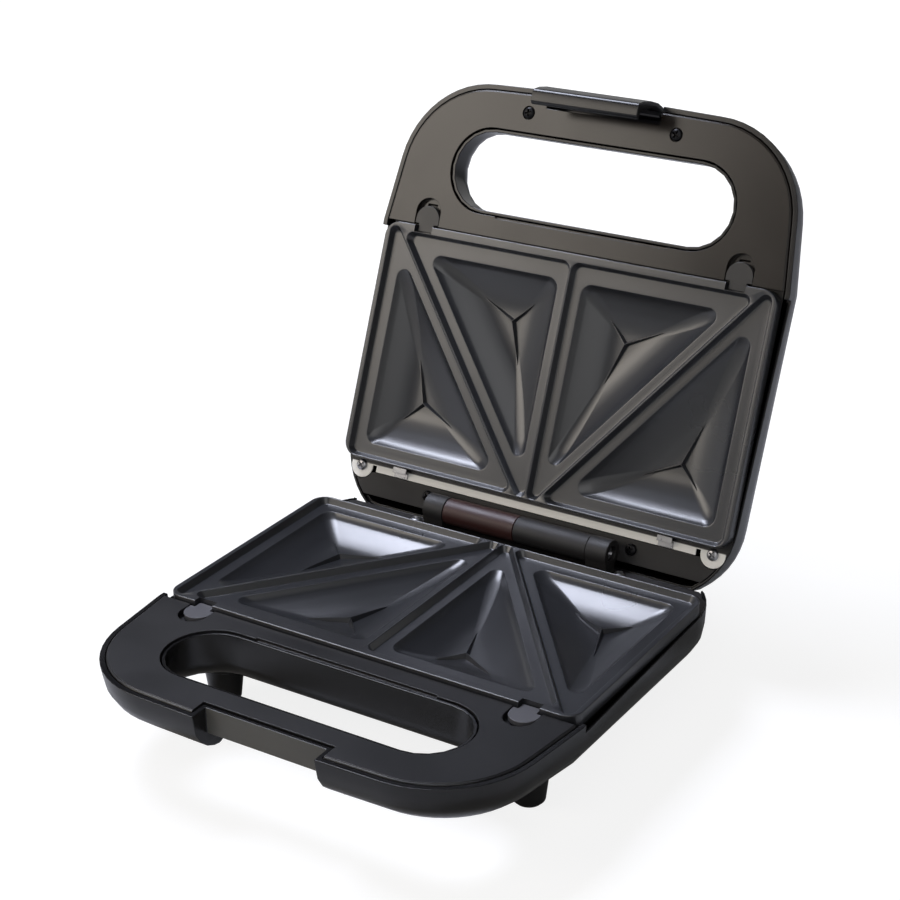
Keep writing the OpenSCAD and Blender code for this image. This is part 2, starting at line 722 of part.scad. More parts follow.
// The element is one tube: a lead, a run under the diagonal rib, a bend, the front run,
// and the same again on the other side
element_front = rim_front + element_d / 2;
corner_x = diag_x(element_front, 0);
bend_t = element_bend / tan(rib_a / 2);
lead_r = 7;
swage = 0.02;
swage_r = 0.12;
module element() {
    r = element_d / 2;
    run_l = norm([corner_x + lead_x, lead_y - element_front]) - bend_t - lead_r;
    translate([0, 0, element_z]) union() {
        rod_x(corner_x + bend_t + swage, -corner_x - bend_t - swage, element_front, 0, r);
        both_sides() {
            // Bend at the front corner
            translate([corner_x + bend_t, element_front + element_bend, 0])
                rotate([0, 0, 90 + rib_a]) rotate_extrude(angle = 180 - rib_a)
                    translate([element_bend, 0]) circle(r);
            rod_x(corner_x + bend_t - 0.5, corner_x + bend_t + 0.5, element_front, 0, r + swage_r);
            translate([-lead_x, lead_y, 0]) rotate([0, 0, rib_a]) {
                // Run under the diagonal rib, then down through the reflector
                rod_x(-lead_r - run_l + swage, -lead_r - swage, 0, 0, r);
                rod_x(-lead_r - run_l - 0.5, -lead_r - run_l + 0.5, 0, 0, r + swage_r);
                rod_x(-lead_r - 0.5, -lead_r + 0.5, 0, 0, r + swage_r);
                translate([-lead_r, 0, -lead_r]) rotate([90, 0, 0]) rotate_extrude(angle = 90)
                    translate([lead_r, 0]) circle(r);
                post(0, 0, -lead_r - 0.5, -lead_r + 0.5, r + swage_r);
                post(0, 0, -lead_r - 3, -lead_r - swage, r);
                post(0, 0, -lead_r - 6.4, -lead_r - 2.9, 1.3);
            }
        }
    }
}
module base_element() {
    color(steel) at_base() element();
}
module lid_element() {
    color(steel) lid_half() element();
}
// Strap clips that hold the element on the reflector
module element_clip() {
    r = element_d / 2 + 0.1;
    floor_z = -reflector_depth + reflector_t - element_z;
    difference() {
        union() {
            rotate([90, 0, 0]) cylinder(h = 7, r = r + 0.8, center = true);
            block(r, r + 0.8, -3.5, 3.5, floor_z, 0);
            block(r, r + 6, -3.5, 3.5, floor_z, floor_z + 0.8);
        }
        rotate([90, 0, 0]) cylinder(h = 9, r = r, center = true);
        block(-9, 9, -5, 5, 1.2, 9);
    }
}
module element_clips() {
    mid = [(corner_x - lead_x) / 2, (element_front + lead_y) / 2];
    both_sides() {
        translate([mid[0], mid[1], element_z]) rotate([0, 0, rib_a - 90]) element_clip();
        translate([35, element_front, element_z]) rotate([0, 0, 90]) element_clip();
    }
}
module base_element_clips() {
    color(steel) at_base() element_clips();
}
module lid_element_clips() {
    color(steel) lid_half() element_clips();
}

// ---- Rear decks and hinge ----
deck_front = plate_d + 6.6;
module rear_deck(ry, deck_end) {
    difference() {
        translate([0, 0, -deck_top - deck_t]) linear_extrude(deck_t) difference() {
            intersection() {
                polygon(outline(lip_t + seat_gap + 0.5, ry));
                translate([-hw, deck_front]) square([2 * hw, deck_end - deck_front]);
            }
            both_sides() translate([boss_x, boss_y]) circle(tab_r + 0.4);
        }
        both_sides() post(deck_screw_x, deck_screw_y, -50, 0, 1.5 + run_fit);
    }
}
module base_rear_deck() {
    color(satin) at_base() difference() {
        union() {
            rear_deck(base_y, hinge_y + 1);
            both_sides() {
                rod_x(knuckle_in, knuckle_in + knuckle_w, hinge_y, hinge_rise, knuckle_r);
                block(knuckle_in, knuckle_in + knuckle_w, hinge_y - knuckle_r + 0.8,
                    hinge_y + 3, -deck_top - deck_t / 2, hinge_rise);
            }
        }
        both_sides() {
            rod_x(knuckle_in - 1, knuckle_in + knuckle_w + 1, hinge_y, hinge_rise, pin_r + run_fit);
            rod_x(knuckle_in + knuckle_w - 3, knuckle_in + knuckle_w + 1, hinge_y, hinge_rise, 4);
        }
    }
}
module lid_rear_deck() {
    color(satin) lid_half() difference() {
        rear_deck(lid_y, hinge_y + 3.4);
        both_sides() rod_x(knuckle_in - 1, knuckle_in + knuckle_w + 1, hinge_y,
            plate_gap - hinge_rise, knuckle_r + 0.5);
    }
}
module deck_screws() {
    both_sides() translate([deck_screw_x, deck_screw_y, -deck_top]) screw(3, 1.5, 1.5, 10);
}
module base_deck_screws() {
    color(steel) at_base() deck_screws();
}
module lid_deck_screws() {
    color(satin) lid_half() deck_screws();
}
module hinge_pins() {
    color(steel) at_base() both_sides()
        translate([knuckle_in + knuckle_w - 3, hinge_y, hinge_rise]) rotate([0, 90, 0])
            screw(3.7, 2.2, pin_r, 20);
}
module hinge_sleeve() {
    axis_z = plate_gap - hinge_rise;
    difference() {
        union() {
            rod_x(0.15, knuckle_in - seat_gap, hinge_y, axis_z, sleeve_r);
            block(0.15, knuckle_in - seat_gap, hinge_y - sleeve_r + 0.5, hinge_y + 4.6, -deck_top, axis_z);
        }
        // Passage for the lid's wires, then the bearing for the hinge pin
        rod_x(-1, knuckle_in - 9, hinge_y, axis_z, 4.4);
        rod_x(-1, knuckle_in + 1, hinge_y, axis_z, pin_r + run_fit);
        block(6, 22, hinge_y - 3, hinge_y + 3, -side_drop - 1, axis_z);
    }
}
module hinge_sleeve_right() {
    color(satin) lid_half() hinge_sleeve();
}
module hinge_sleeve_left() {
    color(satin) lid_half() mirror([1, 0, 0]) hinge_sleeve();
}

// ---- Release buttons ----
button_top = cover_sink + 0.3;
module button() {
    union() {
        // Round cap in its well, with the tongue that holds the plate down
        translate([0, 0, -well_floor + 0.3]) linear_extrude(well_floor - 0.3 - button_top)
            intersection() {
                union() {
                    translate([0, -10.7 + button_r]) circle(button_r);
                    translate([-button_r, -10.7 + button_r]) square([2 * button_r, 10.7 - button_r]);
                }
                translate([-20, -20]) square([40, 19]);
            }
        block(-tongue_w / 2, tongue_w / 2, -2, tongue_reach, -4.3, -button_top);
        // Stem through the cover and the foot that the spring pushes
        block(-2.5, 2.5, -8, -2, -well_floor - 1.7, -well_floor + 0.4);
        block(-5, 5, -11.5, -6, -14, -well_floor - 1.5);
    }
}
module button_spring() {
    translate([0, -11.5 - seat_gap, -10.4]) rotate([90, 0, 0])
        coil(2.3, 0.4, 5, spring_seat - 11.5 - 2 * seat_gap);
}
module base_button_right() {
    color("dimgray") at_base() translate([button_x, 0, 0]) button();
}
module base_button_left() {
    color("dimgray") at_base() translate([-button_x, 0, 0]) button();
}
module lid_button_right() {
    color(satin) lid_half() translate([button_x, 0, 0]) button();
}
module lid_button_left() {
    color(satin) lid_half() translate([-button_x, 0, 0]) button();
}
module base_button_spring_right() {
    color(steel) at_base() translate([button_x, 0, 0]) button_spring();
}
module base_button_spring_left() {
    color(steel) at_base() translate([-button_x, 0, 0]) button_spring();
}
module lid_button_spring_right() {
    color(steel) lid_half() translate([button_x, 0, 0]) button_spring();
}
module lid_button_spring_left() {
    color(steel) lid_half() translate([-button_x, 0, 0]) button_spring();
}

// ---- Latch, drawn in the closed lid's place, z up from the base's rim ----
latch_foot = grip_under + 3.5;
latch_face = pivot_y + latch_barrel_r + 1.4;
module latch_profile() {
    polygon([
        [-pivot_y - latch_barrel_r + 0.3, pivot_z + 1.5],
        [-latch_face + 0.9, pivot_z - 2],
        [-latch_face, pivot_z - 7],
        [-latch_face + 0.4, -6],
        [-latch_face + 1.8, -grip_under + 2],
        [-latch_face + 3.6, -latch_foot + 0.8],
        [-latch_face + 5.2, -latch_foot],
        [-notch_face - 0.3, -latch_foot],
        [-notch_face + 1, -latch_foot + 1.4],
        [-notch_face + 1, -grip_under - 0.7],
        [-notch_face - 2, -grip_under - 0.4],
        [-notch_face - 3.8, -grip_under + 1.5],
        [-latch_face + 3.9, -5],
        [-latch_face + 3.6, pivot_z - 5],
        [-pivot_y + latch_barrel_r - 0.4, pivot_z - 1.4]]);
}
module latch() {
    color(black) at_lid() difference() {
        union() {
            rotate([90, 0, 90]) translate([0, 0, -latch_half]) linear_extrude(2 * latch_half)
                latch_profile();
            rod_x(-latch_half, latch_half, -pivot_y, pivot_z, latch_barrel_r);
        }
        rod_x(-latch_half - 1, latch_half + 1, -pivot_y, pivot_z, latch_pin_r + run_fit);
    }
}
module latch_pin() {
    color(steel) at_lid() rod_x(-lid_notch - 2, lid_notch + 2, -pivot_y, pivot_z, latch_pin_r);
}

// ---- Indicator lights in the lid's outer face ----
module lens() {
    z = -floor_depth(lens_y);
    translate([0, lens_y, z - 1.4]) cylinder(h = 1.01, r1 = lens_r - 1, r2 = lens_r);
    translate([0, lens_y, z - 0.4]) cylinder(h = shell_wall + 1, r = lens_r);
    translate([0, lens_y, z + shell_wall + 0.4]) cylinder(h = 1.4, r = lens_r + 1.4);
}
module power_lens() {
    color("red") lid_half() translate([-lens_x, 0, 0]) lens();
}
module ready_lens() {
    color("green") lid_half() translate([lens_x, 0, 0]) lens();
}
module indicator_lamps() {
    color("orange") lid_half() both_sides()
        translate([lens_x, lens_y - 5, -floor_depth(lens_y) + shell_wall + 4.4]) rotate([-90, 0, 0]) union() {
            cylinder(h = 9, r = 2.3);
            translate([0, 0, 9]) sphere(2.3);
            for (x = [-1, 1])
                translate([x, 0, -5]) cylinder(h = 5.5, r = 0.4);
        }
}

// ---- Feet ----
pad_t = 2.4;
module feet() {
    color(black) at_base() for (f = foot_places) difference() {
        translate([f[0], f[1], -stand_h + 1.2])
            cylinder(h = stand_h - 1.2 + foot_seat, r1 = foot_bottom_r, r2 = foot_top_r);
        post(f[0], f[1], -stand_h, -stand_h + pad_t, foot_bottom_r - 1.2);
        post(f[0], f[1], -stand_h, -stand_h + 12, 4);
        post(f[0], f[1], -stand_h, 0, 2 + run_fit);
    }
}
module foot_pads() {
    color("dimgray") at_base() for (f = foot_places)
        post(f[0], f[1], -stand_h, -stand_h + pad_t - 0.05, foot_bottom_r - 1.3);
}
module foot_screws() {
    color(steel) at_base() for (f = foot_places)
        translate([f[0], f[1], -stand_h + 12]) rotate([180, 0, 0])
            screw(3.6, 2, 2, stand_h - 12 - floor_depth(f[1]) + 4);
}

// ---- Electrical parts under the base's reflector ----
module terminal_block() {
    z0 = -floor_depth(104) + shell_wall + 0.3;
    color("white") at_base() difference() {
        block(36, 62, 104, 120, z0, -reflector_depth - 0.6);
        for (x = [41, 49, 57]) {
            translate([x, 103, (z0 - reflector_depth) / 2]) rotate([-90, 0, 0]) cylinder(h = 18, r = 1.7);
            post(x, 108, z0 + 3, 0, 1.5);
            post(x, 116, z0 + 3, 0, 1.5);
        }
    }
}
module thermostat() {
    color(steel) at_base() translate([0, 62, 0]) union() {
        post(0, 0, -reflector_depth - 5.8, -reflector_depth - 0.2, 8.5);
        post(0, 0, -reflector_depth - 7.6, -reflector_depth - 5.8, 6);
        both_sides() block(8, 12.5, -3.2, 3.2, -reflector_depth - 4, -reflector_depth - 3.2);
    }
}
module thermal_fuse() {
    color("white") at_base() translate([34, 62, -reflector_depth - 2.4]) rotate([-90, 0, 0]) union() {
        cylinder(h = 12, r = 2.1, center = true);
        cylinder(h = 26, r = 0.5, center = true);
    }
}
module cord_inlet() {
    color(black) at_base() translate([inlet_x, base_y + 1.5, inlet_z]) rotate([90, 0, 0]) difference() {
        union() {
            cylinder(h = 1.5, r = inlet_r + 1.5);
            cylinder(h = 10, r = inlet_r);
        }
        translate([0, 0, -1]) cylinder(h = 12, r = 3.4);
    }
}

base_shell();
base_cover();
base_cover_screws();
base_plate();
base_plate_clips();
base_reflector();
base_reflector_screws();
base_element();
base_element_clips();
base_rear_deck();
base_deck_screws();
hinge_pins();
feet();
foot_pads();
foot_screws();
terminal_block();
thermostat();
thermal_fuse();
cord_inlet();
base_button_left();
base_button_right();
base_button_spring_left();
base_button_spring_right();
lid_shell();
lid_cover();
lid_cover_screws();
lid_plate();
lid_plate_clips();
lid_reflector();
lid_reflector_screws();
lid_element();
lid_element_clips();
lid_rear_deck();
lid_deck_screws();
hinge_sleeve_left();
hinge_sleeve_right();
power_lens();
ready_lens();
indicator_lamps();
lid_button_left();
lid_button_right();
lid_button_spring_left();
lid_button_spring_right();
latch();
latch_pin();
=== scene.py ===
# %% [markdown]
# # A two-slice sandwich toaster, lid open
# The exact solids of the toaster arrive from the frame, in metres and already in place. This
# lesson dresses them: cast plates with a non-stick coat, moulded black housings, screws,
# springs, heating tubes, then the light and the camera. Every piece is tied to the body that
# carries it, so the lid can shut on the base.

# %% Load the frame
import bpy
import bmesh
import json
import math
from mathutils import Matrix, Vector
from mathutils.geometry import delaunay_2d_cdt


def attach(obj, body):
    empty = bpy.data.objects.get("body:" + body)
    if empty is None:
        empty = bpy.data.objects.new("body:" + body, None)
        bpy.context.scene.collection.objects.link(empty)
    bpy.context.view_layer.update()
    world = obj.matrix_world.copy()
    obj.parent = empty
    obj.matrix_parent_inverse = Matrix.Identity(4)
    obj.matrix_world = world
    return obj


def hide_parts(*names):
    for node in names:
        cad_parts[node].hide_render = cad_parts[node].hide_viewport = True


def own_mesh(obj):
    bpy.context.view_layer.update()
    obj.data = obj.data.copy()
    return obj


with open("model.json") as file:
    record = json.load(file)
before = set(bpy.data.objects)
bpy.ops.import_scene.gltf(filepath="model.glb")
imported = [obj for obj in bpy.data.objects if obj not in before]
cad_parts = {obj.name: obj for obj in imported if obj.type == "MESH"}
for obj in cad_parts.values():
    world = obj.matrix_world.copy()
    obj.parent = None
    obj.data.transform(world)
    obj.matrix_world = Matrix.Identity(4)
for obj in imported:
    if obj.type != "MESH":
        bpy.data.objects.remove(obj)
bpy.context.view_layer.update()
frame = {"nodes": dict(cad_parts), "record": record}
body_of_node = {node: body for body, nodes in frame["record"]["behaviour"]["bodies"].items()
                for node in nodes}

# %% [markdown]
# ## Where the halves lie
# Both halves are drawn alike: x across, y from the plate's handle edge to the hinge, and z = 0
# on the plate's rim. One matrix stands the base on its feet. The other mirrors the half and
# swings it open about the hinge, so that a piece drawn once fits the base and the lid.

# %% The two placing matrices
MM = 0.001
MID_Y = 81.489
STAND_H = 53.5
HINGE_Y, HINGE_Z = 140.2, 1.1
OPEN_ANGLE = math.radians(112.5)
PLATE_GAP = 1.0

to_table = Matrix.Translation((0, -MID_Y, STAND_H))
swing = (Matrix.Translation((0, HINGE_Y, HINGE_Z)) @ Matrix.Rotation(-OPEN_ANGLE, 4, "X")
         @ Matrix.Translation((0, -HINGE_Y, -HINGE_Z)))
scale_mm = Matrix.Diagonal((MM, MM, MM, 1))
closed_lid = scale_mm @ to_table @ swing
HALF = {
    "base": scale_mm @ to_table,
    "lid": closed_lid @ Matrix.Translation((0, 0, PLATE_GAP)) @ Matrix.Diagonal((1, 1, -1, 1)),
}
print("lid hinge at", [round(v, 4) for v in HALF["base"] @ Vector((0, HINGE_Y, HINGE_Z))])

# %% [markdown]
# ## The camera
# The photograph was taken from the front right, a little above the table. The position, focal
# length and small tilt were found by matching the plates' corners, so they are plain numbers.

# %% Camera
CAMERA_AZIMUTH, CAMERA_ELEVATION, CAMERA_ROLL = (math.radians(a) for a in (32.328, 23.341, -0.724))
CAMERA_DISTANCE = 1162.96
AIM = Vector((-98.63, 250.41, 0))
FOCAL_PX, CENTRE_X, CENTRE_Y, PHOTO_PX = 2055.0, 468.28, 416.52, 900
SENSOR_MM = 36


def linked(name, data):
    """A new object in the scene, with its mesh, lamp or camera."""
    thing = bpy.data.objects.new(name, data)
    bpy.context.collection.objects.link(thing)
    return thing


back = Vector((math.sin(CAMERA_AZIMUTH) * math.cos(CAMERA_ELEVATION),
               -math.cos(CAMERA_AZIMUTH) * math.cos(CAMERA_ELEVATION), math.sin(CAMERA_ELEVATION)))
level = Vector((math.cos(CAMERA_AZIMUTH), math.sin(CAMERA_AZIMUTH), 0))
above = back.cross(level)
right = math.cos(CAMERA_ROLL) * level + math.sin(CAMERA_ROLL) * above
up = math.cos(CAMERA_ROLL) * above - math.sin(CAMERA_ROLL) * level
eye = HALF["base"] @ (AIM + back * CAMERA_DISTANCE)
camera = linked("camera", bpy.data.cameras.new("camera"))
camera.matrix_world = Matrix(((right.x, up.x, back.x, eye.x), (right.y, up.y, back.y, eye.y),
                              (right.z, up.z, back.z, eye.z), (0, 0, 0, 1)))
camera.data.sensor_width = SENSOR_MM
camera.data.lens = FOCAL_PX / PHOTO_PX * SENSOR_MM
camera.data.shift_x = (PHOTO_PX / 2 - CENTRE_X) / PHOTO_PX
camera.data.shift_y = (CENTRE_Y - PHOTO_PX / 2) / PHOTO_PX
camera.data.clip_start = 0.01
bpy.context.scene.camera = camera
print("camera at", [round(v, 3) for v in eye], "lens", round(camera.data.lens, 1))

# %% [markdown]
# ## Node helper and colours
# Shader trees and Geometry Nodes trees are both built from the same three things: a node, its
# settings and its links. One function adds all three. Colours are written as they look on a
# screen and turned to the linear values that the shaders want.

# %% Helpers for trees and colours
def add(tree, kind, values=None, links=None, **settings):
    made = tree.nodes.new(kind)
    for name, value in settings.items():
        setattr(made, name, value)
    for socket, value in (values or {}).items():
        made.inputs[socket].default_value = value
    for socket, source in (links or {}).items():
        tree.links.new(source, made.inputs[socket])
    return made


def linear(hex_colour):
    parts = [int(hex_colour[i:i + 2], 16) / 255 for i in (1, 3, 5)]
    return [p / 12.92 if p <= 0.04045 else ((p + 0.055) / 1.055) ** 2.4 for p in parts] + [1.0]


print("a screen's middle grey is", round(linear("#808080")[0], 3), "in linear light")

# %% [markdown]
# ## A moulded or coated surface
# Nearly every finish here is one idea at different sizes: a base colour that drifts a little, a
# fine grain that breaks up the shine, and a roughness that changes where hands or heat have been.
# The function takes the sizes of the grain and of the drift in millimetres, and the depth of the
# grain, which is 0 where the surface is too smooth to show any.

# %% Surface recipe
def surface(name, dark, light, grain_mm, rough, grain_depth, drift_mm, **shader):
    material = bpy.data.materials.new(name)
    material.use_nodes = True
    tree = material.node_tree
    tree.nodes.clear()
    place = add(tree, "ShaderNodeTexCoord").outputs["Object"]
    drift = add(tree, "ShaderNodeTexNoise", {"Scale": 1 / (drift_mm * MM), "Detail": 3.0},
                {"Vector": place})
    tone = add(tree, "ShaderNodeMix", None, {"Factor": drift.outputs["Fac"]}, data_type="RGBA")
    # A colour Mix node lists number, vector and colour sockets, so the colours are set by place
    tone.inputs[6].default_value = linear(dark)
    tone.inputs[7].default_value = linear(light)
    low, high = rough
    worn = add(tree, "ShaderNodeMapRange", {"From Min": 0.3, "From Max": 0.7, "To Min": low, "To Max": high},
               {"Value": drift.outputs["Fac"]})
    bsdf = add(tree, "ShaderNodeBsdfPrincipled", shader,
               {"Base Color": tone.outputs[2], "Roughness": worn.outputs["Result"]})
    if grain_depth:
        grain = add(tree, "ShaderNodeTexNoise", {"Scale": 1 / (grain_mm * MM), "Detail": 2.0},
                    {"Vector": place})
        bump = add(tree, "ShaderNodeBump", {"Strength": 1.0, "Distance": grain_depth * MM},
                   {"Height": grain.outputs["Fac"]})
        tree.links.new(bump.outputs["Normal"], bsdf.inputs["Normal"])
    add(tree, "ShaderNodeOutputMaterial", None, {"Surface": bsdf.outputs["BSDF"]})
    return material


# %% [markdown]
# ## The finishes
# Each is named for what it is. The plates are cast aluminium under a sprayed PTFE coat, a dark
# satin charcoal with a strong soft shine. Its fleck is finer than a pixel at this distance, so it
# isn't drawn. The housings are moulded ABS polished in the tool, while the base's handle cover has
# a satin texture. The rest are common metals, rubber and ceramic.

# %% Finishes
finish = {
    # Sprayed non-stick: charcoal, with the strong soft shine that models the pockets
    "ptfe_coat": surface("ptfe_coat", "#222326", "#2a2b2f", 1.7, (0.27, 0.33), 0.0, 60,
                         **{"Specular IOR Level": 0.9}),
    # Polished ABS: nearly black, with a soft wide shine
    "polished_abs": surface("polished_abs", "#0b0b0c", "#111012", 0.7, (0.2, 0.28), 0.003, 40),
    # Satin ABS: the texture of the tool scatters the shine
    "satin_abs": surface("satin_abs", "#131315", "#1b1a1b", 0.6, (0.34, 0.42), 0.012, 45),
    # Gloss ABS of the lid's cover, smoother and warmer than the base's
    "gloss_abs": surface("gloss_abs", "#16120f", "#221c17", 0.8, (0.19, 0.27), 0.002, 70),
    # Painted reflection: a light, rough grey ABS for the latch recess's front face, standing in for the
    # bright floor that the glossy face mirrors
    "painted_reflection_grey": surface("painted_reflection_grey", "#4b4a46", "#5a5852", 0.6, (0.45, 0.55), 0.01, 12),
    # Glass-filled nylon: the hinge and decks stand heat, and look dry and dark
    "nylon": surface("nylon", "#191818", "#232121", 0.5, (0.5, 0.62), 0.012, 18),
    # The same nylon tinted by the oxide pigment, which shows maroon on one sleeve
    "oxide_nylon": surface("oxide_nylon", "#2a1614", "#3c1f1b", 0.5, (0.4, 0.5), 0.01, 18),
    # Grey acetal: slippery and a little waxy
    "grey_acetal": surface("grey_acetal", "#505054", "#5c5c60", 0.5, (0.38, 0.48), 0.008, 12),
    # Black acetal of the lid's release buttons
    "black_acetal": surface("black_acetal", "#232222", "#2d2c2b", 0.5, (0.34, 0.44), 0.008, 12),
    # Bright aluminium sheet: pale, with a faint grain; it scatters light like a white surface
    "bright_aluminium": surface("bright_aluminium", "#f4f1ea", "#fdfbf6", 0.4, (0.36, 0.46), 0.002, 25),
    # Zinc-plated steel: silvery with a slight haze
    "zinc_steel": surface("zinc_steel", "#9c9ca0", "#b6b6b8", 0.6, (0.26, 0.36), 0.001, 6, Metallic=1.0),
    # Black oxide steel: dark metal with a low gleam
    "black_oxide_steel": surface("black_oxide_steel", "#141416", "#1e1e20", 0.3, (0.3, 0.4), 0.004, 5,
                                 Metallic=0.7),
    # Steel sheath browned by heat
    "heat_tinted_steel": surface("heat_tinted_steel", "#5a5048", "#776a5e", 0.5, (0.34, 0.5), 0.006, 20,
                                 Metallic=1.0),
    # Moulded rubber: matt and slightly dusty
    "moulded_rubber": surface("moulded_rubber", "#1b1b1b", "#262626", 0.4, (0.65, 0.8), 0.02, 8),
    # Unglazed steatite: chalky white
    "steatite": surface("steatite", "#d6d2c6", "#e4e0d6", 0.4, (0.6, 0.75), 0.01, 9),
    # Clear lenses moulded in colour
    "red_lens": surface("red_lens", "#8c0c0c", "#a01212", 0.9, (0.08, 0.12), 0.0, 6),
    "green_lens": surface("green_lens", "#0c6a1c", "#128024", 0.9, (0.08, 0.12), 0.0, 6),
    # Thin glass of the neon lamps, orange from the gas inside
    "neon_glass": surface("neon_glass", "#d8a070", "#e6b080", 0.9, (0.04, 0.08), 0.0, 6,
                          **{"Transmission Weight": 0.7}),
}


# Painted shade: the near-black laid on the reflectors where they lie in shadow between the parts
PAINTED_SHADE_COLOUR, SHADE_FADE = "#171514", 0.5     # mm over which the bright strip begins


def painted_shade(name, half, limit_mm):
    """Rolled aluminium with painted shade: a near-black for the shadow in the gaps, up to a line along the
    half's own y.
    """
    material = finish["bright_aluminium"].copy()
    material.name = name
    tree = material.node_tree
    bsdf = next(n for n in tree.nodes if n.type == "BSDF_PRINCIPLED")
    unshaded = bsdf.inputs["Base Color"].links[0].from_socket
    row = HALF[half].inverted()[1]
    place = add(tree, "ShaderNodeTexCoord").outputs["Object"]
    along = add(tree, "ShaderNodeVectorMath", {1: tuple(row[:3])}, {0: place}, operation="DOT_PRODUCT")
    start = limit_mm - row[3]
    edge = add(tree, "ShaderNodeMapRange", {"From Min": start, "From Max": start + SHADE_FADE},
               {"Value": along.outputs["Value"]})
    mixed = add(tree, "ShaderNodeMix", None, {0: edge.outputs["Result"], 7: unshaded}, data_type="RGBA")
    mixed.inputs[6].default_value = linear(PAINTED_SHADE_COLOUR)
    tree.links.new(mixed.outputs[2], bsdf.inputs["Base Color"])
    return material


# Painted shade darkens the reflectors where they lie in shadow; only the strip that shows past the lid
# plate's rear edge stays bright
finish["stained_base_reflector"] = painted_shade("stained_base_reflector", "base", 145.0)
finish["stained_lid_reflector"] = painted_shade("stained_lid_reflector", "lid", 127.2)
print("finishes", len(finish))

# %% [markdown]
# ## Putting a mesh in place
# A finished piece is a plain mesh whose object stays at the origin. `register` links it, gives it
# its finish, smooths all but the sharp edges, and ties it to its body in place of the solid that
# it dresses. `mesh_from` turns the faces of a mirrored half outwards again, and `baked` gives the
# mesh that modifiers make.

# %% Registering a piece
def register(name, mesh, node, material, sharp_deg):
    if sharp_deg:
        mesh.shade_smooth()
        mesh.set_sharp_from_angle(angle=math.radians(sharp_deg))
    mesh.materials.clear()
    mesh.materials.append(finish[material])
    piece = linked(name, mesh)
    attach(piece, body_of_node[node])
    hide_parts(node)
    return piece


def mesh_from(bm, name, matrix=None):
    if matrix is not None:
        bm.transform(matrix)
        if matrix.determinant() < 0:
            bmesh.ops.reverse_faces(bm, faces=bm.faces[:])
    mesh = bpy.data.meshes.new(name)
    bm.to_mesh(mesh)
    bm.free()
    return mesh


def baked(holder):
    """The evaluated mesh of an object, whose modifiers are then taken away."""
    graph = bpy.context.evaluated_depsgraph_get()
    mesh = bpy.data.meshes.new_from_object(holder.evaluated_get(graph))
    holder.modifiers.clear()
    bpy.data.objects.remove(holder)
    return mesh


print("pieces will ride on", sorted(set(body_of_node.values())))

# %% [markdown]
# ## Soft edges on machined solids
# A real moulding or casting has no knife edge: the tool's radius catches a thin line of light.
# The solids from the frame are exact but sharp. A copy of each is welded, its flat faces are
# merged, and a small Bevel rounds the sharp edges. Weighted normals keep the flat faces flat.

# %% Dressing a solid with soft edges
WELD, FLAT_DEG, EDGE_DEG = 2e-6, 0.6, 28     # metres, then the angles of a flat face and an edge


def softened(node, material, radius_mm):
    bm = bmesh.new()
    bm.from_mesh(frame["nodes"][node].data)
    bmesh.ops.remove_doubles(bm, verts=bm.verts, dist=WELD)
    bmesh.ops.dissolve_limit(bm, angle_limit=math.radians(FLAT_DEG), verts=bm.verts, edges=bm.edges)
    mesh = mesh_from(bm, node)
    holder = linked("holder", mesh)
    if radius_mm:
        bevel = holder.modifiers.new("radius", "BEVEL")
        bevel.width = radius_mm * MM
        bevel.segments = 2
        bevel.limit_method = "ANGLE"
        bevel.angle_limit = math.radians(EDGE_DEG)
        bevel.use_clamp_overlap = False
        bevel.miter_outer = "MITER_ARC"
    mesh.shade_smooth()
    weighted = holder.modifiers.new("weighted", "WEIGHTED_NORMAL")
    weighted.keep_sharp = True
    result = baked(holder)
    result.name = node
    return register("soft_" + node, result, node, material, sharp_deg=0)


print("edges over", EDGE_DEG, "degrees get a radius")

# %% [markdown]
# ## Housings, covers, hinge and small parts
# These keep the exact outlines of the solids. The radius differs with the piece: a thick housing
# rim is rounder than the thin edge of a cover.

# %% Softened pieces
SOFTENED = [
    ("base_shell", "polished_abs", 0.35), ("lid_shell", "polished_abs", 0.35),
    ("base_cover", "satin_abs", 0.22), ("lid_cover", "gloss_abs", 0.22),
    ("base_rear_deck", "nylon", 0.25), ("lid_rear_deck", "nylon", 0.25),
    ("hinge_sleeve_left", "oxide_nylon", 0.3), ("hinge_sleeve_right", "nylon", 0.3),
    ("latch", "polished_abs", 0.5), ("latch_pin", "zinc_steel", 0.2),
    ("base_button_left", "grey_acetal", 0.3), ("base_button_right", "grey_acetal", 0.3),
    ("lid_button_left", "black_acetal", 0.3), ("lid_button_right", "black_acetal", 0.3),
    # The reflectors carry painted shade over all but the strip that shows past the lid plate
    ("base_reflector", "stained_base_reflector", 0.15),
    ("lid_reflector", "stained_lid_reflector", 0.15),
    ("base_plate_clips", "zinc_steel", 0.12), ("lid_plate_clips", "zinc_steel", 0.12),
    ("feet", "polished_abs", 0.5), ("foot_pads", "moulded_rubber", 0.3),
    ("cord_inlet", "moulded_rubber", 0.4), ("terminal_block", "steatite", 0.3),
    ("thermostat", "zinc_steel", 0.25), ("thermal_fuse", "steatite", 0.1),
    ("power_lens", "red_lens", 0.2), ("ready_lens", "green_lens", 0.2),
    ("indicator_lamps", "neon_glass", 0.0),
    ("base_element_clips", "zinc_steel", 0.12), ("lid_element_clips", "zinc_steel", 0.12),
]
dressed = {}     # by the node that each takes the place of
for node, material, radius in SOFTENED:
    dressed[node] = softened(node, material, radius)
    print(dressed[node].name, len(dressed[node].data.polygons), "faces")

# %% [markdown]
# The front faces of the latch's recess get a painted reflection: a lighter grey than the polished
# handle, which stands in for the bright floor that they mirror.

# %% Painted reflection in the latch recess
RECESS_HALF, RECESS_FRONT, RECESS_BACK = 30.5, -158.0, -145.0     # mm, as the toaster stands
FACES_FRONT = -0.8     # the y of a normal that points well to the front
shell = dressed["base_shell"]
shell.data.materials.append(finish["painted_reflection_grey"])
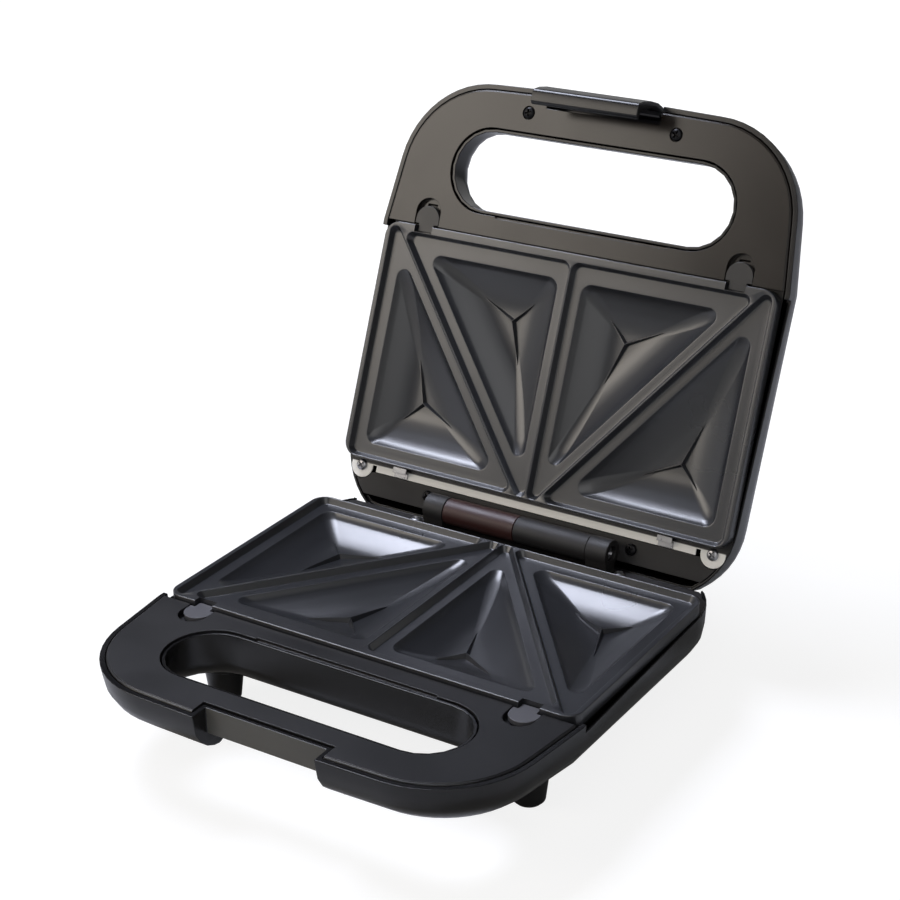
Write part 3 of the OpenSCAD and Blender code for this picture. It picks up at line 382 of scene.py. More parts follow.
# These front-facing faces in the recess take the painted reflection
reflection_faces = [f for f in shell.data.polygons
          if f.normal.y < FACES_FRONT and abs(f.center.x) < RECESS_HALF * MM
          and RECESS_FRONT * MM < f.center.y < RECESS_BACK * MM]
for face in reflection_faces:
    face.material_index = 1
print("eroded faces", len(reflection_faces))

# %% [markdown]
# ## The cooking plates
# Each plate is one aluminium casting with four triangular cells. A cell has sloping walls that
# leave narrow ribs, a flat land, and a pocket whose three curved flanks meet along the lines
# from the corners to the middle. Such a form is a stack of rounded triangles, each with the same
# number of points, so neighbouring rings can be bridged by quads. The triangles shrink towards
# the in-centre, which is where the three bisectors meet.

# %% Triangles of the cells
PLATE_W, PLATE_D, PLATE_R, SKIRT, WALL = 222.0, 125.0, 8.0, 6.6, 2.4
CELL_X, CELL_Y0, CELL_Y1 = 106.8, 5.5, 122.5
RIB_FRONT_X, RIB_REAR_X = 100.3, 7.5
RIB_FOOT, RIB_CREST, LAND = 4.0, 0.8, 3.3
LIP = 0.28           # the small chamfer that draws a line of light along each crest
WALL_RUN = 1.5       # how far a cell's outer wall leans back on its way up
CREST_END = 124.2    # the slim cells' tips are cut off by the plate's rear rim
LAND_SIDE, LAND_FRONT, LAND_RIB = 5.9, 8.0, 4.8
UNDER_DEPTH = 8.0
rib_angle = math.atan2(CELL_Y1 - CELL_Y0, RIB_FRONT_X - RIB_REAR_X)


def rib_y(x, off):
    return CELL_Y0 + (x + RIB_FRONT_X) * math.tan(rib_angle) + off / math.cos(rib_angle)


def rib_x(y, off):
    return -RIB_FRONT_X + (y - CELL_Y0 - off / math.cos(rib_angle)) / math.tan(rib_angle)


def outer_cell(edge, rib):
    return [Vector((-CELL_X + edge, rib_y(-CELL_X + edge, rib))),
            Vector((rib_x(CELL_Y1 - edge, rib), CELL_Y1 - edge)), Vector((-CELL_X + edge, CELL_Y1 - edge))]


def inner_cell(edge, rib):
    return [Vector((-rib, rib_y(-rib, -rib))), Vector((rib_x(CELL_Y0 + edge, -rib), CELL_Y0 + edge)),
            Vector((-rib, CELL_Y0 + edge))]


def in_circle(tri):
    sides = [(tri[(i + 1) % 3] - tri[i]).length for i in range(3)]
    around = sum(sides)
    centre = (tri[0] * sides[1] + tri[1] * sides[2] + tri[2] * sides[0]) / around
    a, b = tri[1] - tri[0], tri[2] - tri[0]
    return centre, abs(a.x * b.y - b.x * a.y) / around


# Each triangle starts at its sharpest corner and ends at its right angle. The radii are in that order
LANDS = [outer_cell(LAND_SIDE, RIB_FOOT / 2 + LAND_RIB),
         inner_cell(LAND_FRONT, RIB_FOOT / 2 + LAND_RIB)]
CORNERS = [(4.4, 5.0, 5.6), (3.9, 4.3, 5.8)]
print("rib angle", round(math.degrees(rib_angle), 1), "in-circles",
      [round(in_circle(land)[1], 1) for land in LANDS])


# %% Rounded triangle rings
CORNER_STEPS = 8


def triangle_ring(tri, inset, corners, z):
    """Points of tri shrunk by inset, its corners rounded to the three radii, at height z."""
    centre, radius = in_circle(tri)
    ring = []
    for i, corner in enumerate(corners):
        before, after = tri[i] - tri[i - 1], tri[(i + 1) % 3] - tri[i]
        start = math.atan2(before.y, before.x) - math.pi / 2
        turn = (math.atan2(after.y, after.x) - math.pi / 2 - start) % (2 * math.pi)
        tip = centre + (tri[i] - centre) * (1 - inset / radius)
        hub = tip + (centre - tip) * (corner / (radius - inset))
        for j in range(CORNER_STEPS + 1):
            a = start + turn * j / CORNER_STEPS
            ring.append(Vector((hub.x + corner * math.cos(a), hub.y + corner * math.sin(a), z)))
    return ring


def blend_rings(one, two, share):
    return [a.lerp(b, share) for a, b in zip(one, two)]


print("points per ring", len(triangle_ring(LANDS[0], 0, CORNERS[0], 0)))

# %% [markdown]
# The pocket's flank falls steeply at the rim, runs down at a steady slope that throws the wide
# highlights, and levels out before the middle. The pairs are shares of the in-circle's radius and
# millimetres of depth; a smooth curve through them gives the contours between.

# %% Contours of a pocket
FLANK = [(0.0, 0.0), (0.012, 0.42), (0.04, 1.35), (0.08, 2.4), (0.12, 3.15), (0.2, 4.3), (0.31, 5.6),
         (0.42, 6.8), (0.54, 7.9), (0.65, 8.7), (0.77, 9.2), (0.88, 9.36), (0.985, 9.4)]
POCKET_DEPTH = FLANK[-1][1]
LEAST_RADIUS, UNDER_RADIUS, UNDER_LEAST = 0.3, 4.5, 0.35
CREST_RADII, FOOT_RADII = (3.4, 3.4, 4.6), (2.2, 2.4, 3.4)
FOOT_SOFT, POCKET_SOFT = 0.35, 0.1     # where the land's two edges begin to turn


def smooth_flank(steps=3):
    """Catmull-Rom points between the pairs of FLANK."""
    padded = [FLANK[0]] + FLANK + [FLANK[-1]]
    points = []
    for p0, p1, p2, p3 in zip(padded, padded[1:], padded[2:], padded[3:]):
        for j in range(steps):
            t = j / steps
            points.append(tuple(0.5 * (2 * b + (c - a) * t + (2 * a - 5 * b + 4 * c - d) * t * t
                                       + (3 * b - a - 3 * c + d) * t ** 3)
                                for a, b, c, d in zip(p0, p1, p2, p3)))
    return points + [FLANK[-1]]


def pocket_ring(tri, radii, share, depth):
    """One contour of the pocket, whose corners sharpen on the way down."""
    keep = math.sqrt(max(0.0, 1 - (depth / POCKET_DEPTH) ** 2))
    return triangle_ring(tri, in_circle(tri)[1] * share, [max(r * keep, LEAST_RADIUS) for r in radii],
                         -LAND - depth)


def under_ring(tri, degrees):
    """One contour of the pocket's underside, a wall further out than an even dish."""
    radius, a = in_circle(tri)[1], math.radians(degrees)
    corner = max(UNDER_RADIUS * math.cos(a), UNDER_LEAST) + WALL
    return triangle_ring(tri, radius * (1 - math.cos(a)) * 0.98 - WALL, [corner] * 3,
                         -LAND - (UNDER_DEPTH + WALL) * math.sin(a))


def cell_rings(cell, land, radii):
    """Contours of one cell from the plate's top face down to the pocket's lowest ring."""
    crest = triangle_ring(cell(-WALL_RUN, RIB_CREST / 2), 0, CREST_RADII, 0)
    foot = triangle_ring(cell(0, RIB_FOOT / 2), 0, FOOT_RADII, -LAND)
    crest = [Vector((p.x, min(p.y, CREST_END - LIP), -0.5 * LIP)) for p in crest]
    lip = [p + (p.to_2d() - q.to_2d()).normalized().to_3d() * LIP for p, q in zip(crest, foot)]
    rings = [[Vector((p.x, min(p.y, CREST_END), 0)) for p in lip], crest]
    rings += [blend_rings(crest, foot, s) for s in (0.05, 0.5, 0.9)]
    rings += [[Vector((p.x, p.y, -LAND + 0.1)) for p in blend_rings(crest, foot, 0.985)]]
    inner = triangle_ring(cell(0, RIB_FOOT / 2), FOOT_SOFT, FOOT_RADII, -LAND)
    edge = triangle_ring(land, -FOOT_SOFT, [r + FOOT_SOFT for r in radii], -LAND)
    rings += [inner, blend_rings(inner, edge, 0.5), edge,
              triangle_ring(land, -POCKET_SOFT, [r + POCKET_SOFT for r in radii], -LAND - 0.05)]
    rings += [pocket_ring(land, radii, share, depth) for share, depth in smooth_flank()[1:]]
    return rings


print("contours per cell", len(cell_rings(outer_cell, LANDS[0], CORNERS[0])))


# %% [markdown]
# The top face between the cells is flat. A constrained Delaunay triangulation fills it, and the
# triangles that lie in a cell are left out. The underside follows the same way, which closes the
# casting.

# %% Casting one plate
UNDER_DEGREES = (13.4, 24, 36, 50, 66, 86)
# Insets and heights of the plate's outer wall, from the rim down and up again inside the skirt
RIM = [(0.5, 0.0), (0.26, -0.06), (0.07, -0.22), (0.0, -0.5), (0.0, -1.0), (0.0, -SKIRT + 0.3),
       (0.25, -SKIRT), (WALL, -SKIRT), (WALL, -LAND - WALL)]


def rounded_rectangle(inset, z):
    r = PLATE_R - inset
    half, points = PLATE_W / 2 - inset, []
    for cx, cy, start in ((half - r, PLATE_D - inset - r, 0), (-half + r, PLATE_D - inset - r, 90),
                          (-half + r, inset + r, 180), (half - r, inset + r, 270)):
        for j in range(13):
            a = math.radians(start + 90 * j / 12)
            points.append(Vector((cx + r * math.cos(a), cy + r * math.sin(a), z)))
    return points


def bridge(bm, one, two):
    n = len(one)
    for i in range(n):
        bm.faces.new((one[i], one[(i + 1) % n], two[(i + 1) % n], two[i]))


def inside(point, loop):
    """Even-odd test of a point against a closed loop of vertices."""
    hit = False
    for one, two in zip(loop, loop[1:] + loop[:1]):
        a, b = one.co, two.co
        if (a.y > point.y) != (b.y > point.y):
            if point.x < a.x + (b.x - a.x) * (point.y - a.y) / (b.y - a.y):
                hit = not hit
    return hit


def fill_flat(bm, loops, facing_up):
    """Fill the flat region inside the first loop and outside the others."""
    verts, edges = [], []
    for loop in loops:
        edges += [(len(verts) + i, len(verts) + (i + 1) % len(loop)) for i in range(len(loop))]
        verts += loop
    flat = [v.co.to_2d() for v in verts]
    _, _, triangles, source, _, _ = delaunay_2d_cdt(flat, edges, [], 0, 1e-5)
    for triangle in triangles:
        corners = [verts[source[i][0]] for i in triangle]
        middle = sum((v.co for v in corners), Vector()) / 3
        if not inside(middle, loops[0]) or any(inside(middle, hole) for hole in loops[1:]):
            continue
        normal = (corners[1].co - corners[0].co).cross(corners[2].co - corners[0].co)
        bm.faces.new(corners if (normal.z > 0) == facing_up else corners[::-1])


def mirrored(ring):
    return [Vector((-p.x, p.y, p.z)) for p in reversed(ring)]


def cast_plate():
    bm = bmesh.new()

    def put(ring):
        return [bm.verts.new(p) for p in ring]

    top_holes, under_holes = [], []
    for cell, land, radii in zip((outer_cell, inner_cell), LANDS, CORNERS):
        rings = cell_rings(cell, land, radii)
        under = [under_ring(land, degrees) for degrees in UNDER_DEGREES]
        under[0] = [Vector((p.x, p.y, -LAND - WALL)) for p in under[0]]
        for side in (lambda r: r, mirrored):
            loops = [put(side(r)) for r in rings]
            for one, two in zip(loops, loops[1:]):
                bridge(bm, one, two)
            centre = in_circle(land)[0]
            lowest = bm.verts.new(side([Vector((centre.x, centre.y, -LAND - POCKET_DEPTH))])[0])
            for i in range(len(loops[-1])):
                bm.faces.new((loops[-1][i], loops[-1][(i + 1) % len(loops[-1])], lowest))
            top_holes.append(loops[0])
            loops = [put(side(r)) for r in under]
            for one, two in zip(loops, loops[1:]):
                bridge(bm, two, one)
            bm.faces.new(list(reversed(loops[-1])))
            under_holes.append(loops[0])
    loops = [put(rounded_rectangle(inset, z)) for inset, z in RIM]
    for one, two in zip(loops, loops[1:]):
        bridge(bm, two, one)
    fill_flat(bm, [loops[0]] + top_holes, True)
    fill_flat(bm, [loops[-1]] + under_holes, False)
    bmesh.ops.recalc_face_normals(bm, faces=bm.faces)
    return bm


plate_shape = cast_plate()
open_edges = [e for e in plate_shape.edges if not e.is_manifold]
print("plate faces", len(plate_shape.faces), "open edges", len(open_edges),
      "volume cm3", round(plate_shape.calc_volume() / 1000, 1))


# %% [markdown]
# The ridge that scores the toast is a low three-armed crest in each pocket. Each arm tapers to
# nothing about a third of the way to its corner, a shorter share for the sharper corners. The
# notch at the handle edge, where the release button's tongue lies, is cut from the closed casting
# with a Boolean.

# %% Ridges and notches
RIDGE_W, RIDGE_RISE = 2.6, 2.5
RIDGE_REACH = (0.30, 0.38, 0.43)
# Across one side of the arm to the other: shares of the half width, and of the rise where above 0
RIDGE_PROFILE = ((-1, -0.45), (-0.62, 0.3), (-0.1, 1.0), (0.1, 1.0), (0.62, 0.3), (1, -0.45))
BUTTON_X, TONGUE_W = 88.5, 9.0
NOTCH_GAP, NOTCH_IN, NOTCH_DOWN = 0.8, 3.7, 4.6


def floor_at(share):
    """Height of the pocket's floor a share of the way from the middle to a corner."""
    inset = 1 - share
    for (s0, d0), (s1, d1) in zip(FLANK, FLANK[1:]):
        if inset <= s1:
            return -LAND - d0 - (d1 - d0) * (inset - s0) / (s1 - s0)
    return -LAND - POCKET_DEPTH


def ridge_arm(bm, centre, corner, reach):
    """A tapering crest from the pocket's middle, with its flanks sunk into the dish."""
    out = (corner - centre)
    along, across = out.normalized(), Vector((-out.normalized().y, out.normalized().x))
    rings = []
    for t in (-0.035, 0.0, 0.08, 0.3, 0.55, 0.8, 1.0):
        scale = max(t, 0) * reach
        floor = floor_at(scale)
        width = RIDGE_W / 2 * (1 - 0.75 * max(t, 0))
        rise = RIDGE_RISE * (1 - max(t, 0)) ** 0.6 * (1 if t >= 0 else 0.6)
        point = centre + out * (scale if t >= 0 else 0) + along * (t * 20 if t < 0 else 0)
        ring = []
        for s, h in RIDGE_PROFILE:
            height = h * rise if h > 0 else h
            p = point + across * (s * width)
            ring.append(bm.verts.new((p.x, p.y, floor + height)))
        rings.append(ring)
    for one, two in zip(rings, rings[1:]):
        bridge(bm, one, two)
    bm.faces.new(rings[0])
    bm.faces.new(list(reversed(rings[-1])))


def ridges():
    bm = bmesh.new()
    for land in LANDS:
        centre = in_circle(land)[0]
        for flip in (1, -1):
            for corner, reach in zip(land, RIDGE_REACH):
                ridge_arm(bm, Vector((centre.x * flip, centre.y)),
                          Vector((corner.x * flip, corner.y)), reach)
    bmesh.ops.recalc_face_normals(bm, faces=bm.faces)
    return bm


def box_mesh(boxes, name):
    bm = bmesh.new()
    for low, high in boxes:
        size = Vector(high) - Vector(low)
        middle = (Vector(high) + Vector(low)) / 2
        bmesh.ops.create_cube(bm, size=1, matrix=Matrix.Translation(middle) @ Matrix.Diagonal((*size, 1)))
    return mesh_from(bm, name)


def notched(bm, name):
    holder = linked(name, mesh_from(bm, name))
    half_w = TONGUE_W / 2 + NOTCH_GAP
    cutter_boxes = [((side * BUTTON_X - half_w, -1, -NOTCH_DOWN), (side * BUTTON_X + half_w, NOTCH_IN, 1))
                    for side in (1, -1)]
    cutter = linked("notch_cutter", box_mesh(cutter_boxes, "notch_cutter"))
    cut = holder.modifiers.new("notch", "BOOLEAN")
    cut.object, cut.operation, cut.solver = cutter, "DIFFERENCE", "EXACT"
    mesh = baked(holder)
    bpy.data.objects.remove(cutter)
    return mesh


cast = notched(plate_shape, "cast_plate")
for half in ("base", "lid"):
    bm = bmesh.new()
    bm.from_mesh(cast)
    bm.from_mesh(mesh_from(ridges(), "ridge"))
    holder = linked("holder", mesh_from(bm, "holder", HALF[half]))
    holder.data.shade_smooth()
    holder.data.set_sharp_from_angle(angle=math.radians(50))
    # Large faces win the shared normals, so the lands stay flat and the crests stay crisp
    weighted = holder.modifiers.new("weighted", "WEIGHTED_NORMAL")
    weighted.keep_sharp = True
    plate = register(half + "_cast_plate", baked(holder), half + "_plate", "ptfe_coat", sharp_deg=0)
    print(plate.name, len(plate.data.polygons), "faces")

# %% [markdown]
# ## Screws from one Geometry Nodes tree
# The toaster is held together by seven sets of cross-head screws. A set differs only in its
# sizes, so one tree makes them all: a head with its cross recess is put on every point of a small
# mesh of points, with a shank below, aligned to the set's axis. The seed turns each recess, since
# no assembler stops every screw at the same angle.

# %% The screw head
def lathe(bm, profile, steps=40):
    """Turn (radius, height) pairs about z. The first and last radius are 0, so the poles close."""
    rings = []
    for radius, height in profile:
        if radius == 0:
            rings.append([bm.verts.new((0, 0, height))])
        else:
            rings.append([bm.verts.new((radius * math.cos(2 * math.pi * i / steps),
                                        radius * math.sin(2 * math.pi * i / steps), height))
                          for i in range(steps)])
    for one, two in zip(rings, rings[1:]):
        for i in range(steps):
            j = (i + 1) % steps
            corners = [one[i % len(one)], one[j % len(one)], two[j % len(two)], two[i % len(two)]]
            bm.faces.new(list(dict.fromkeys(corners)))
    bmesh.ops.recalc_face_normals(bm, faces=bm.faces)


HEAD_PROFILE = [(0, -0.02), (0.94, -0.02), (1.0, 0.03), (1.0, 0.12), (0.97, 0.25), (0.88, 0.38),
                (0.72, 0.48), (0.5, 0.54), (0.25, 0.565), (0, 0.57)]
RECESS_LONG, RECESS_WIDE, RECESS_TOP, RECESS_FLOOR, RECESS_TAPER = 1.36, 0.32, 0.62, 0.1, 0.55


def cross_head():
    """A pan head of radius 1, seated on z = 0, with a tapered cross recess."""
    bm = bmesh.new()
    lathe(bm, HEAD_PROFILE)
    head = linked("head", mesh_from(bm, "cross_head"))
    arm = bmesh.new()
    for turn in (0, math.pi / 2):
        made = bmesh.ops.create_cube(arm, size=1)
        for v in made["verts"]:
            taper, z = (1.0, RECESS_TOP) if v.co.z > 0 else (RECESS_TAPER, RECESS_FLOOR)
            v.co = Vector((v.co.x * RECESS_LONG * taper, v.co.y * RECESS_WIDE * taper, z))
        bmesh.ops.rotate(arm, verts=made["verts"], cent=(0, 0, 0), matrix=Matrix.Rotation(turn, 3, "Z"))
    cutter = linked("recess", mesh_from(arm, "recess"))
    cut = head.modifiers.new("recess", "BOOLEAN")
    cut.object, cut.operation, cut.solver, cut.use_self = cutter, "DIFFERENCE", "EXACT", True
    mesh = baked(head)
    bpy.data.objects.remove(cutter)
    return mesh


head_object = linked("cross_head", cross_head())
print("screw head faces", len(head_object.data.polygons))


# %% [markdown]
# A tree's inputs are named, so three helpers suffice: one opens a tree with its inputs, one
# closes it with Realize Instances and Set Material, and one runs it and returns a plain mesh.

# %% Reading a tree's inputs by name
def new_tree(name, sockets):
    tree = bpy.data.node_groups.new(name, "GeometryNodeTree")
    tree.interface.new_socket("Geometry", in_out="OUTPUT", socket_type="NodeSocketGeometry")
    for label, kind, value in sockets:
        socket = tree.interface.new_socket(label, in_out="INPUT", socket_type=kind)
        if value is not None:
            socket.default_value = value
    return tree, add(tree, "NodeGroupInput").outputs


def close_tree(tree, geometry, material):
    real = add(tree, "GeometryNodeRealizeInstances", None, {"Geometry": geometry})
    painted = add(tree, "GeometryNodeSetMaterial", None,
                  {"Geometry": real.outputs[0], "Material": material})
    add(tree, "NodeGroupOutput", None, {"Geometry": painted.outputs[0]})


def grow(name, tree, start_mesh, inputs):
    """Run a tree on a mesh with the given inputs and return the plain mesh."""
    holder = linked(name, start_mesh)
    modifier = holder.modifiers.new(tree.name, "NODES")
    modifier.node_group = tree
    for item in tree.interface.items_tree:
        if item.item_type == "SOCKET" and item.in_out == "INPUT" and item.name in inputs:
            modifier[item.identifier] = inputs[item.name]
    return baked(holder)


print("tree helpers", [helper.__name__ for helper in (new_tree, close_tree, grow)])

# %% The screw tree
screw_tree, given = new_tree("cross_head_screws", [
    ("Geometry", "NodeSocketGeometry", None), ("Head", "NodeSocketObject", None),
    ("Head radius", "NodeSocketFloat", 0.003), ("Shank radius", "NodeSocketFloat", 0.0015),
    ("Shank length", "NodeSocketFloat", 0.01), ("Axis", "NodeSocketVector", (0, 0, 1)),
    ("Seed", "NodeSocketInt", 1), ("Material", "NodeSocketMaterial", None)])
head_info = add(screw_tree, "GeometryNodeObjectInfo", None, {"Object": given["Head"]})
head_size = add(screw_tree, "ShaderNodeCombineXYZ", None,
                {"X": given["Head radius"], "Y": given["Head radius"], "Z": given["Head radius"]})
sized_head = add(screw_tree, "GeometryNodeTransform", None,
                 {"Geometry": head_info.outputs["Geometry"], "Scale": head_size.outputs[0]})
shank = add(screw_tree, "GeometryNodeMeshCylinder", {"Vertices": 20},
            {"Radius": given["Shank radius"], "Depth": given["Shank length"]})
half_down = add(screw_tree, "ShaderNodeMath", {1: -0.5}, {0: given["Shank length"]},
                operation="MULTIPLY")
shank_shift = add(screw_tree, "ShaderNodeCombineXYZ", None, {"Z": half_down.outputs[0]})
lowered = add(screw_tree, "GeometryNodeTransform", None,
              {"Geometry": shank.outputs["Mesh"], "Translation": shank_shift.outputs[0]})
whole = add(screw_tree, "GeometryNodeJoinGeometry")
for source in (sized_head, lowered):
    screw_tree.links.new(source.outputs[0], whole.inputs[0])
upright = add(screw_tree, "FunctionNodeAlignRotationToVector", None, {"Vector": given["Axis"]},
              axis="Z")
angle = add(screw_tree, "FunctionNodeRandomValue", {2: 0.0, 3: math.pi / 2}, {"Seed": given["Seed"]})
about = add(screw_tree, "ShaderNodeCombineXYZ", None, {"Z": angle.outputs[1]})
spin = add(screw_tree, "FunctionNodeEulerToRotation", None, {0: about.outputs[0]})
turned = add(screw_tree, "FunctionNodeRotateRotation", None,
             {"Rotation": upright.outputs[0], "Rotate By": spin.outputs[0]}, rotation_space="LOCAL")
placed = add(screw_tree, "GeometryNodeInstanceOnPoints", None,
             {"Points": given["Geometry"], "Instance": whole.outputs[0], "Rotation": turned.outputs[0]})
close_tree(screw_tree, placed.outputs[0], given["Material"])
print("screw tree nodes", len(screw_tree.nodes))


# %% [markdown]
# Each row of the table is one set: the node it stands for, where the heads sit in the half's
# own millimetres, which way they face, and their sizes. A head that sits on the lid is placed by
# the lid's matrix, so its axis turns with the lid.

# %% The screw sets
BOSS_X, BOSS_Y, FLANGE_TOP = 102.0, 129.0, 6.9
DECK_X, DECK_Y, DECK_TOP = 59.3, 136.6, 7.3
FOOT_FRONT, FOOT_REAR, FOOT_SEAT = (84.4, 7.2), (76.0, 124.0), -STAND_H + 12
COVER_X, COVER_Y = 41.4, -65.5


def pairs(x, y, z):
    return [Vector((side * x, y, z)) for side in (1, -1)]


# Node, finish, places, axis, head radius, shank radius and shank length
SCREWS = [
    ("base_cover_screws", "zinc_steel", pairs(COVER_X, COVER_Y, -21.0), (0, 0, -1), 3.0, 1.5, 18.0),
    ("lid_cover_screws", "black_oxide_steel", pairs(COVER_X, COVER_Y, -2.9), (0, 0, 1), 3.1, 1.5, 11.0),
    ("base_reflector_screws", "zinc_steel", pairs(BOSS_X, BOSS_Y, -FLANGE_TOP), (0, 0, 1), 3.0, 1.5, 10.0),
    ("lid_reflector_screws", "zinc_steel", pairs(BOSS_X, BOSS_Y, -FLANGE_TOP), (0, 0, 1), 3.0, 1.5, 10.0),
    ("base_deck_screws", "zinc_steel", pairs(DECK_X, DECK_Y, -DECK_TOP), (0, 0, 1), 3.0, 1.5, 10.0),
    ("lid_deck_screws", "black_oxide_steel", pairs(DECK_X, DECK_Y, -DECK_TOP), (0, 0, 1), 3.0, 1.5, 10.0),
    ("foot_screws", "zinc_steel", pairs(*FOOT_FRONT, FOOT_SEAT) + pairs(*FOOT_REAR, FOOT_SEAT),
     (0, 0, -1), 3.6, 2.0, 14.0),
]


def points_mesh(points, name):
    mesh = bpy.data.meshes.new(name)
    mesh.from_pydata([tuple(p) for p in points], [], [])
    return mesh


def screw_set(node, material, points, axis, head_r, shank_r, shank_l, seed):
    matrix = HALF["lid" if node.startswith("lid") else "base"]
    facing = (matrix @ Vector(axis) - matrix @ Vector((0, 0, 0))).normalized()
    mesh = grow(node, screw_tree, points_mesh([matrix @ p for p in points], node), {
        "Head": head_object, "Head radius": head_r * MM, "Shank radius": shank_r * MM,
        "Shank length": shank_l * MM, "Axis": tuple(facing), "Seed": seed, "Material": finish[material]})
    return register("cross_" + node, mesh, node, material, sharp_deg=40)


FIRST_SEED = 3
for place, row in enumerate(SCREWS):
    piece = screw_set(*row, seed=place + FIRST_SEED)
    print(piece.name, len(piece.data.polygons), "faces")

# %% [markdown]
# The two hinge pins are shouldered screws that lie across the toaster, one facing left and one
# right, so the tree runs once for each side and the two meshes are joined into one piece.

# %% Hinge pins
PIN_SEAT_X, PIN_SEED = 50.0, 11
pin_bm = bmesh.new()
for side in (1, -1):
    seat = HALF["base"] @ Vector((side * PIN_SEAT_X, HINGE_Y, HINGE_Z))
    pin_bm.from_mesh(grow("pin", screw_tree, points_mesh([seat], "pin"), {
        "Head": head_object, "Head radius": 3.7 * MM, "Shank radius": 2.0 * MM, "Shank length": 20 * MM,
        "Axis": (side, 0, 0), "Seed": PIN_SEED + side, "Material": finish["zinc_steel"]}))
pins = register("cross_head_hinge_pins", mesh_from(pin_bm, "hinge_pins"), "hinge_pins", "zinc_steel",
                sharp_deg=40)
print(pins.name, len(pins.data.polygons), "faces")

# %% [markdown]
# ## Button springs
# A compression spring is a round wire along a spiral, so the tree sweeps a circle along the
# Spiral curve.

# %% The spring tree and the four springs
spring_tree, given = new_tree("compression_spring", [
    ("Geometry", "NodeSocketGeometry", None), ("Coil radius", "NodeSocketFloat", 0.0023),
    ("Wire radius", "NodeSocketFloat", 0.0004), ("Turns", "NodeSocketFloat", 5.0),
    ("Length", "NodeSocketFloat", 0.0089), ("Axis", "NodeSocketVector", (0, 0, 1)),
    ("Material", "NodeSocketMaterial", None)])
spiral = add(spring_tree, "GeometryNodeCurveSpiral", {"Resolution": 24},
             {"Rotations": given["Turns"], "Start Radius": given["Coil radius"],
              "End Radius": given["Coil radius"], "Height": given["Length"]})
wire = add(spring_tree, "GeometryNodeCurvePrimitiveCircle", {"Resolution": 10},
           {"Radius": given["Wire radius"]})
swept = add(spring_tree, "GeometryNodeCurveToMesh", {"Fill Caps": True},
            {"Curve": spiral.outputs[0], "Profile Curve": wire.outputs[0]})
upright = add(spring_tree, "FunctionNodeAlignRotationToVector", None, {"Vector": given["Axis"]},
              axis="Z")
set_on = add(spring_tree, "GeometryNodeInstanceOnPoints", None,
             {"Points": given["Geometry"], "Instance": swept.outputs[0], "Rotation": upright.outputs[0]})
close_tree(spring_tree, set_on.outputs[0], given["Material"])

SPRING_FRONT, SPRING_LENGTH, SPRING_Z = -11.8, 8.9, -10.4
COIL_R, WIRE_R = 2.3, 0.4
springs = []
for half in ("base", "lid"):
    for side, sign in (("left", -1), ("right", 1)):
        start = HALF[half] @ Vector((sign * BUTTON_X, SPRING_FRONT, SPRING_Z))
        seat = HALF[half] @ Vector((sign * BUTTON_X, SPRING_FRONT - SPRING_LENGTH, SPRING_Z))
        node = f"{half}_button_spring_{side}"
        mesh = grow(node, spring_tree, points_mesh([start], node), {
            "Coil radius": COIL_R * MM, "Wire radius": WIRE_R * MM, "Turns": 5.0,
            "Length": SPRING_LENGTH * MM,
            "Axis": tuple((seat - start).normalized()), "Material": finish["zinc_steel"]})
        piece = register("wound_" + node, mesh, node, "zinc_steel", sharp_deg=50)
        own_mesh(piece)
        springs.append(piece.name)
print("springs", springs)

# %% [markdown]
# ## Heating elements
# Under each plate one steel tube runs below the two diagonal ribs and along the handle edge. The
# tree takes the corner points as a chain of edges, turns it into a curve, rounds the corners with
# Fillet Curve and sweeps the tube's circle along it.

# %% The element tree and both elements
tube_tree, given = new_tree("tubular_element", [
    ("Geometry", "NodeSocketGeometry", None), ("Tube radius", "NodeSocketFloat", 0.00325),
    ("Bend radius", "NodeSocketFloat", 0.008), ("Material", "NodeSocketMaterial", None)])
path = add(tube_tree, "GeometryNodeMeshToCurve", None, {"Mesh": given["Geometry"]})
bent = add(tube_tree, "GeometryNodeFilletCurve", {"Count": 10},
           {"Curve": path.outputs[0], "Radius": given["Bend radius"]}, mode="POLY")
section = add(tube_tree, "GeometryNodeCurvePrimitiveCircle", {"Resolution": 20},
              {"Radius": given["Tube radius"]})
swept = add(tube_tree, "GeometryNodeCurveToMesh", {"Fill Caps": True},
            {"Curve": bent.outputs[0], "Profile Curve": section.outputs[0]})
close_tree(tube_tree, swept.outputs[0], given["Material"])

ELEMENT_R, BEND_R, UNDER_GAP = 3.25, 7.5, 0.2
LEAD_X, LEAD_Y, LEAD_DROP, ELEMENT_CORNER_X = 17.1, 112.0, 10.0, 99.0
PIN_PROFILE = [(0, -3.4), (1.1, -3.4), (1.3, -3.2), (1.3, 0.1), (0, 0.1)]
element_z = -(LAND + WALL + UNDER_GAP + ELEMENT_R)
element_front = CELL_Y0 + ELEMENT_R


def chain_mesh(points, name):
    mesh = bpy.data.meshes.new(name)
    mesh.from_pydata([tuple(p) for p in points], [(i, i + 1) for i in range(len(points) - 1)], [])
    return mesh


